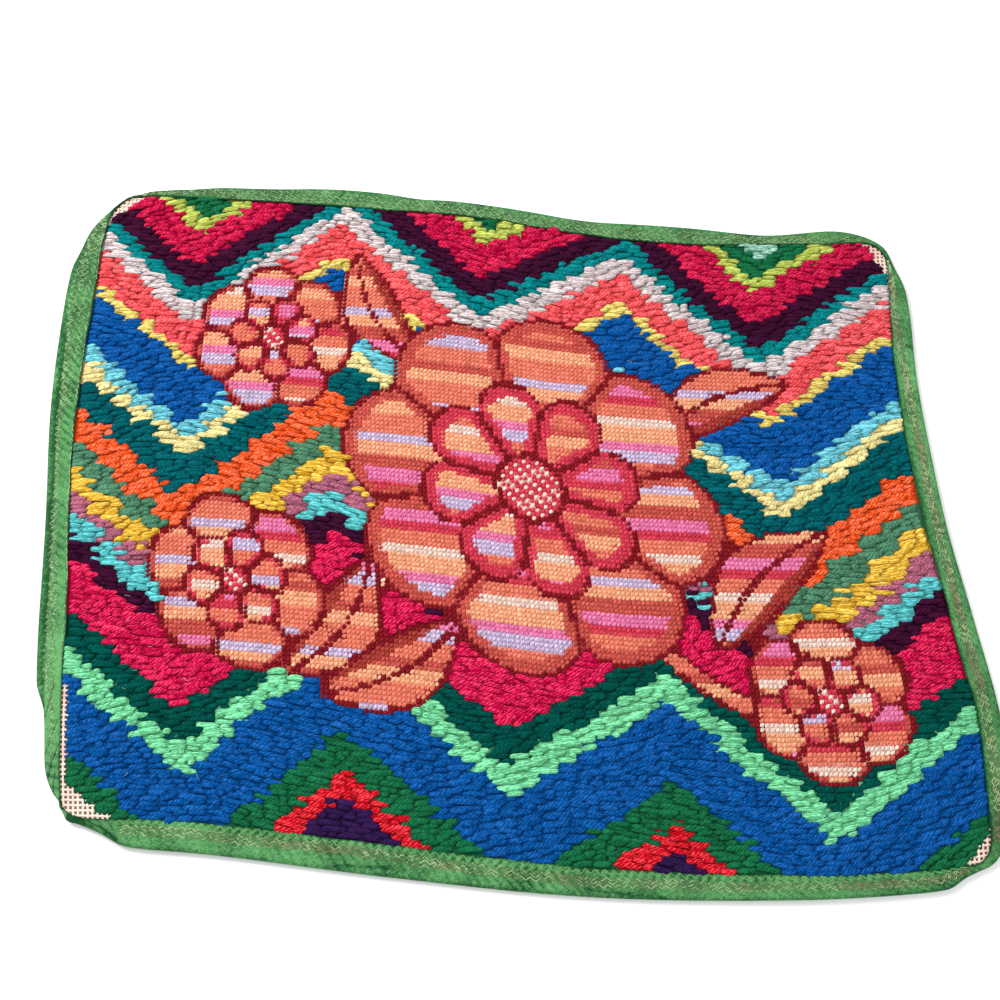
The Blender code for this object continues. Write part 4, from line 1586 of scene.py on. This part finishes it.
def lint_paths():
    """Short curled fibres: two in three near the left side, and the others anywhere."""
    paths = []
    for number in range(LINT_COUNT):
        s, t, spread_s, spread_t = LINT_PATCHES[number % 3 == 0]
        u = np.clip(rng.normal(s, spread_s), 0.06, 0.94) * WORKED_WIDTH
        v = np.clip(rng.normal(t, spread_t), 0.06, 0.94) * WORKED_DEPTH
        heading, curl = rng.normal(0.0, 0.5), rng.normal(0.0, 0.6)
        along = np.linspace(-0.5, 0.5, 6) * rng.uniform(0.0012, 0.0036)
        across = curl * along ** 2 / 0.004
        paths.append(lay(u + along * math.cos(heading) - across * math.sin(heading),
                         v + along * math.sin(heading) + across * math.cos(heading),
                         LINT_LEVEL + 0.0001 * np.cos(along * 900)))
    return paths


def lint_finish():
    finish = Finish("pale fluff")
    finish.constants(base_color=(*linear((196, 216, 206)), 1.0), roughness=0.8, specular_ior_level=0.2)
    return finish.material


lint = add_threads("lint", lint_paths(), LINT_RADIUS, 0, lint_finish())
print("lint fibres:", LINT_COUNT)

# %% [markdown]
# ## The cloth
# Two of the pieces are cut from cloth: the canvas and the tape.

# %% [markdown]
# ## Floor and light
# The panel lies on a plain pale floor under soft studio light: one large soft source from the far left,
# which gives every stitch a bright end and a shaded one, a weaker one from the right, and pale light
# from all round.

# %% Floor, lights and world
FLOOR_HALF = 3.0
FLOOR_DROP = 0.0003
WORLD_STRENGTH = 0.75


def make_floor():
    plane = bmesh.new()
    bmesh.ops.create_grid(plane, x_segments=1, y_segments=1, size=FLOOR_HALF)
    bmesh.ops.translate(plane, verts=plane.verts, vec=(0.0, 0.0, -FLOOR_DROP))
    finish = Finish("pale floor")
    finish.constants(base_color=(0.86, 0.86, 0.86, 1.0), roughness=0.9, specular_ior_level=0.1)
    floor = add_object("floor", as_mesh("floor", plane), finish.material, smooth=False)
    floor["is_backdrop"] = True


def add_light(name, place, size, power, colour):
    lamp = bpy.data.lights.new(name, "AREA")
    lamp.size = size
    lamp.energy = power
    lamp.color = colour
    source = bpy.data.objects.new(name, lamp)
    source.location = place
    source.rotation_euler = (-source.location).to_track_quat("-Z", "Y").to_euler()
    bpy.context.scene.collection.objects.link(source)


make_floor()
add_light("key light", (-0.75, 0.65, 0.95), 0.55, 20.0, (1.0, 0.98, 0.95))
add_light("fill light", (0.95, -0.35, 1.2), 1.2, 8.0, (0.95, 0.97, 1.0))
world = bpy.data.worlds.new("studio")
world.use_nodes = True
background = world.node_tree.nodes["Background"].inputs
background["Color"].default_value = (1.0, 1.0, 1.0, 1.0)
background["Strength"].default_value = WORLD_STRENGTH
bpy.context.scene.world = world
bpy.context.scene.view_settings.view_transform = "Standard"
print("lit")

# %% [markdown]
# ## Measure and finish
# The dressed panel has to stay the size of the plain model. Its triangles are counted.

# %% Measure and finish
def triangles(piece):
    shown = piece.evaluated_get(bpy.context.evaluated_depsgraph_get()).to_mesh()
    shown.calc_loop_triangles()
    return len(shown.loop_triangles)


counts = {piece.name: triangles(piece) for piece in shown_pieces()}
print("triangles in all:", sum(counts.values()), "largest:", max(counts.items(), key=lambda row: row[1]))
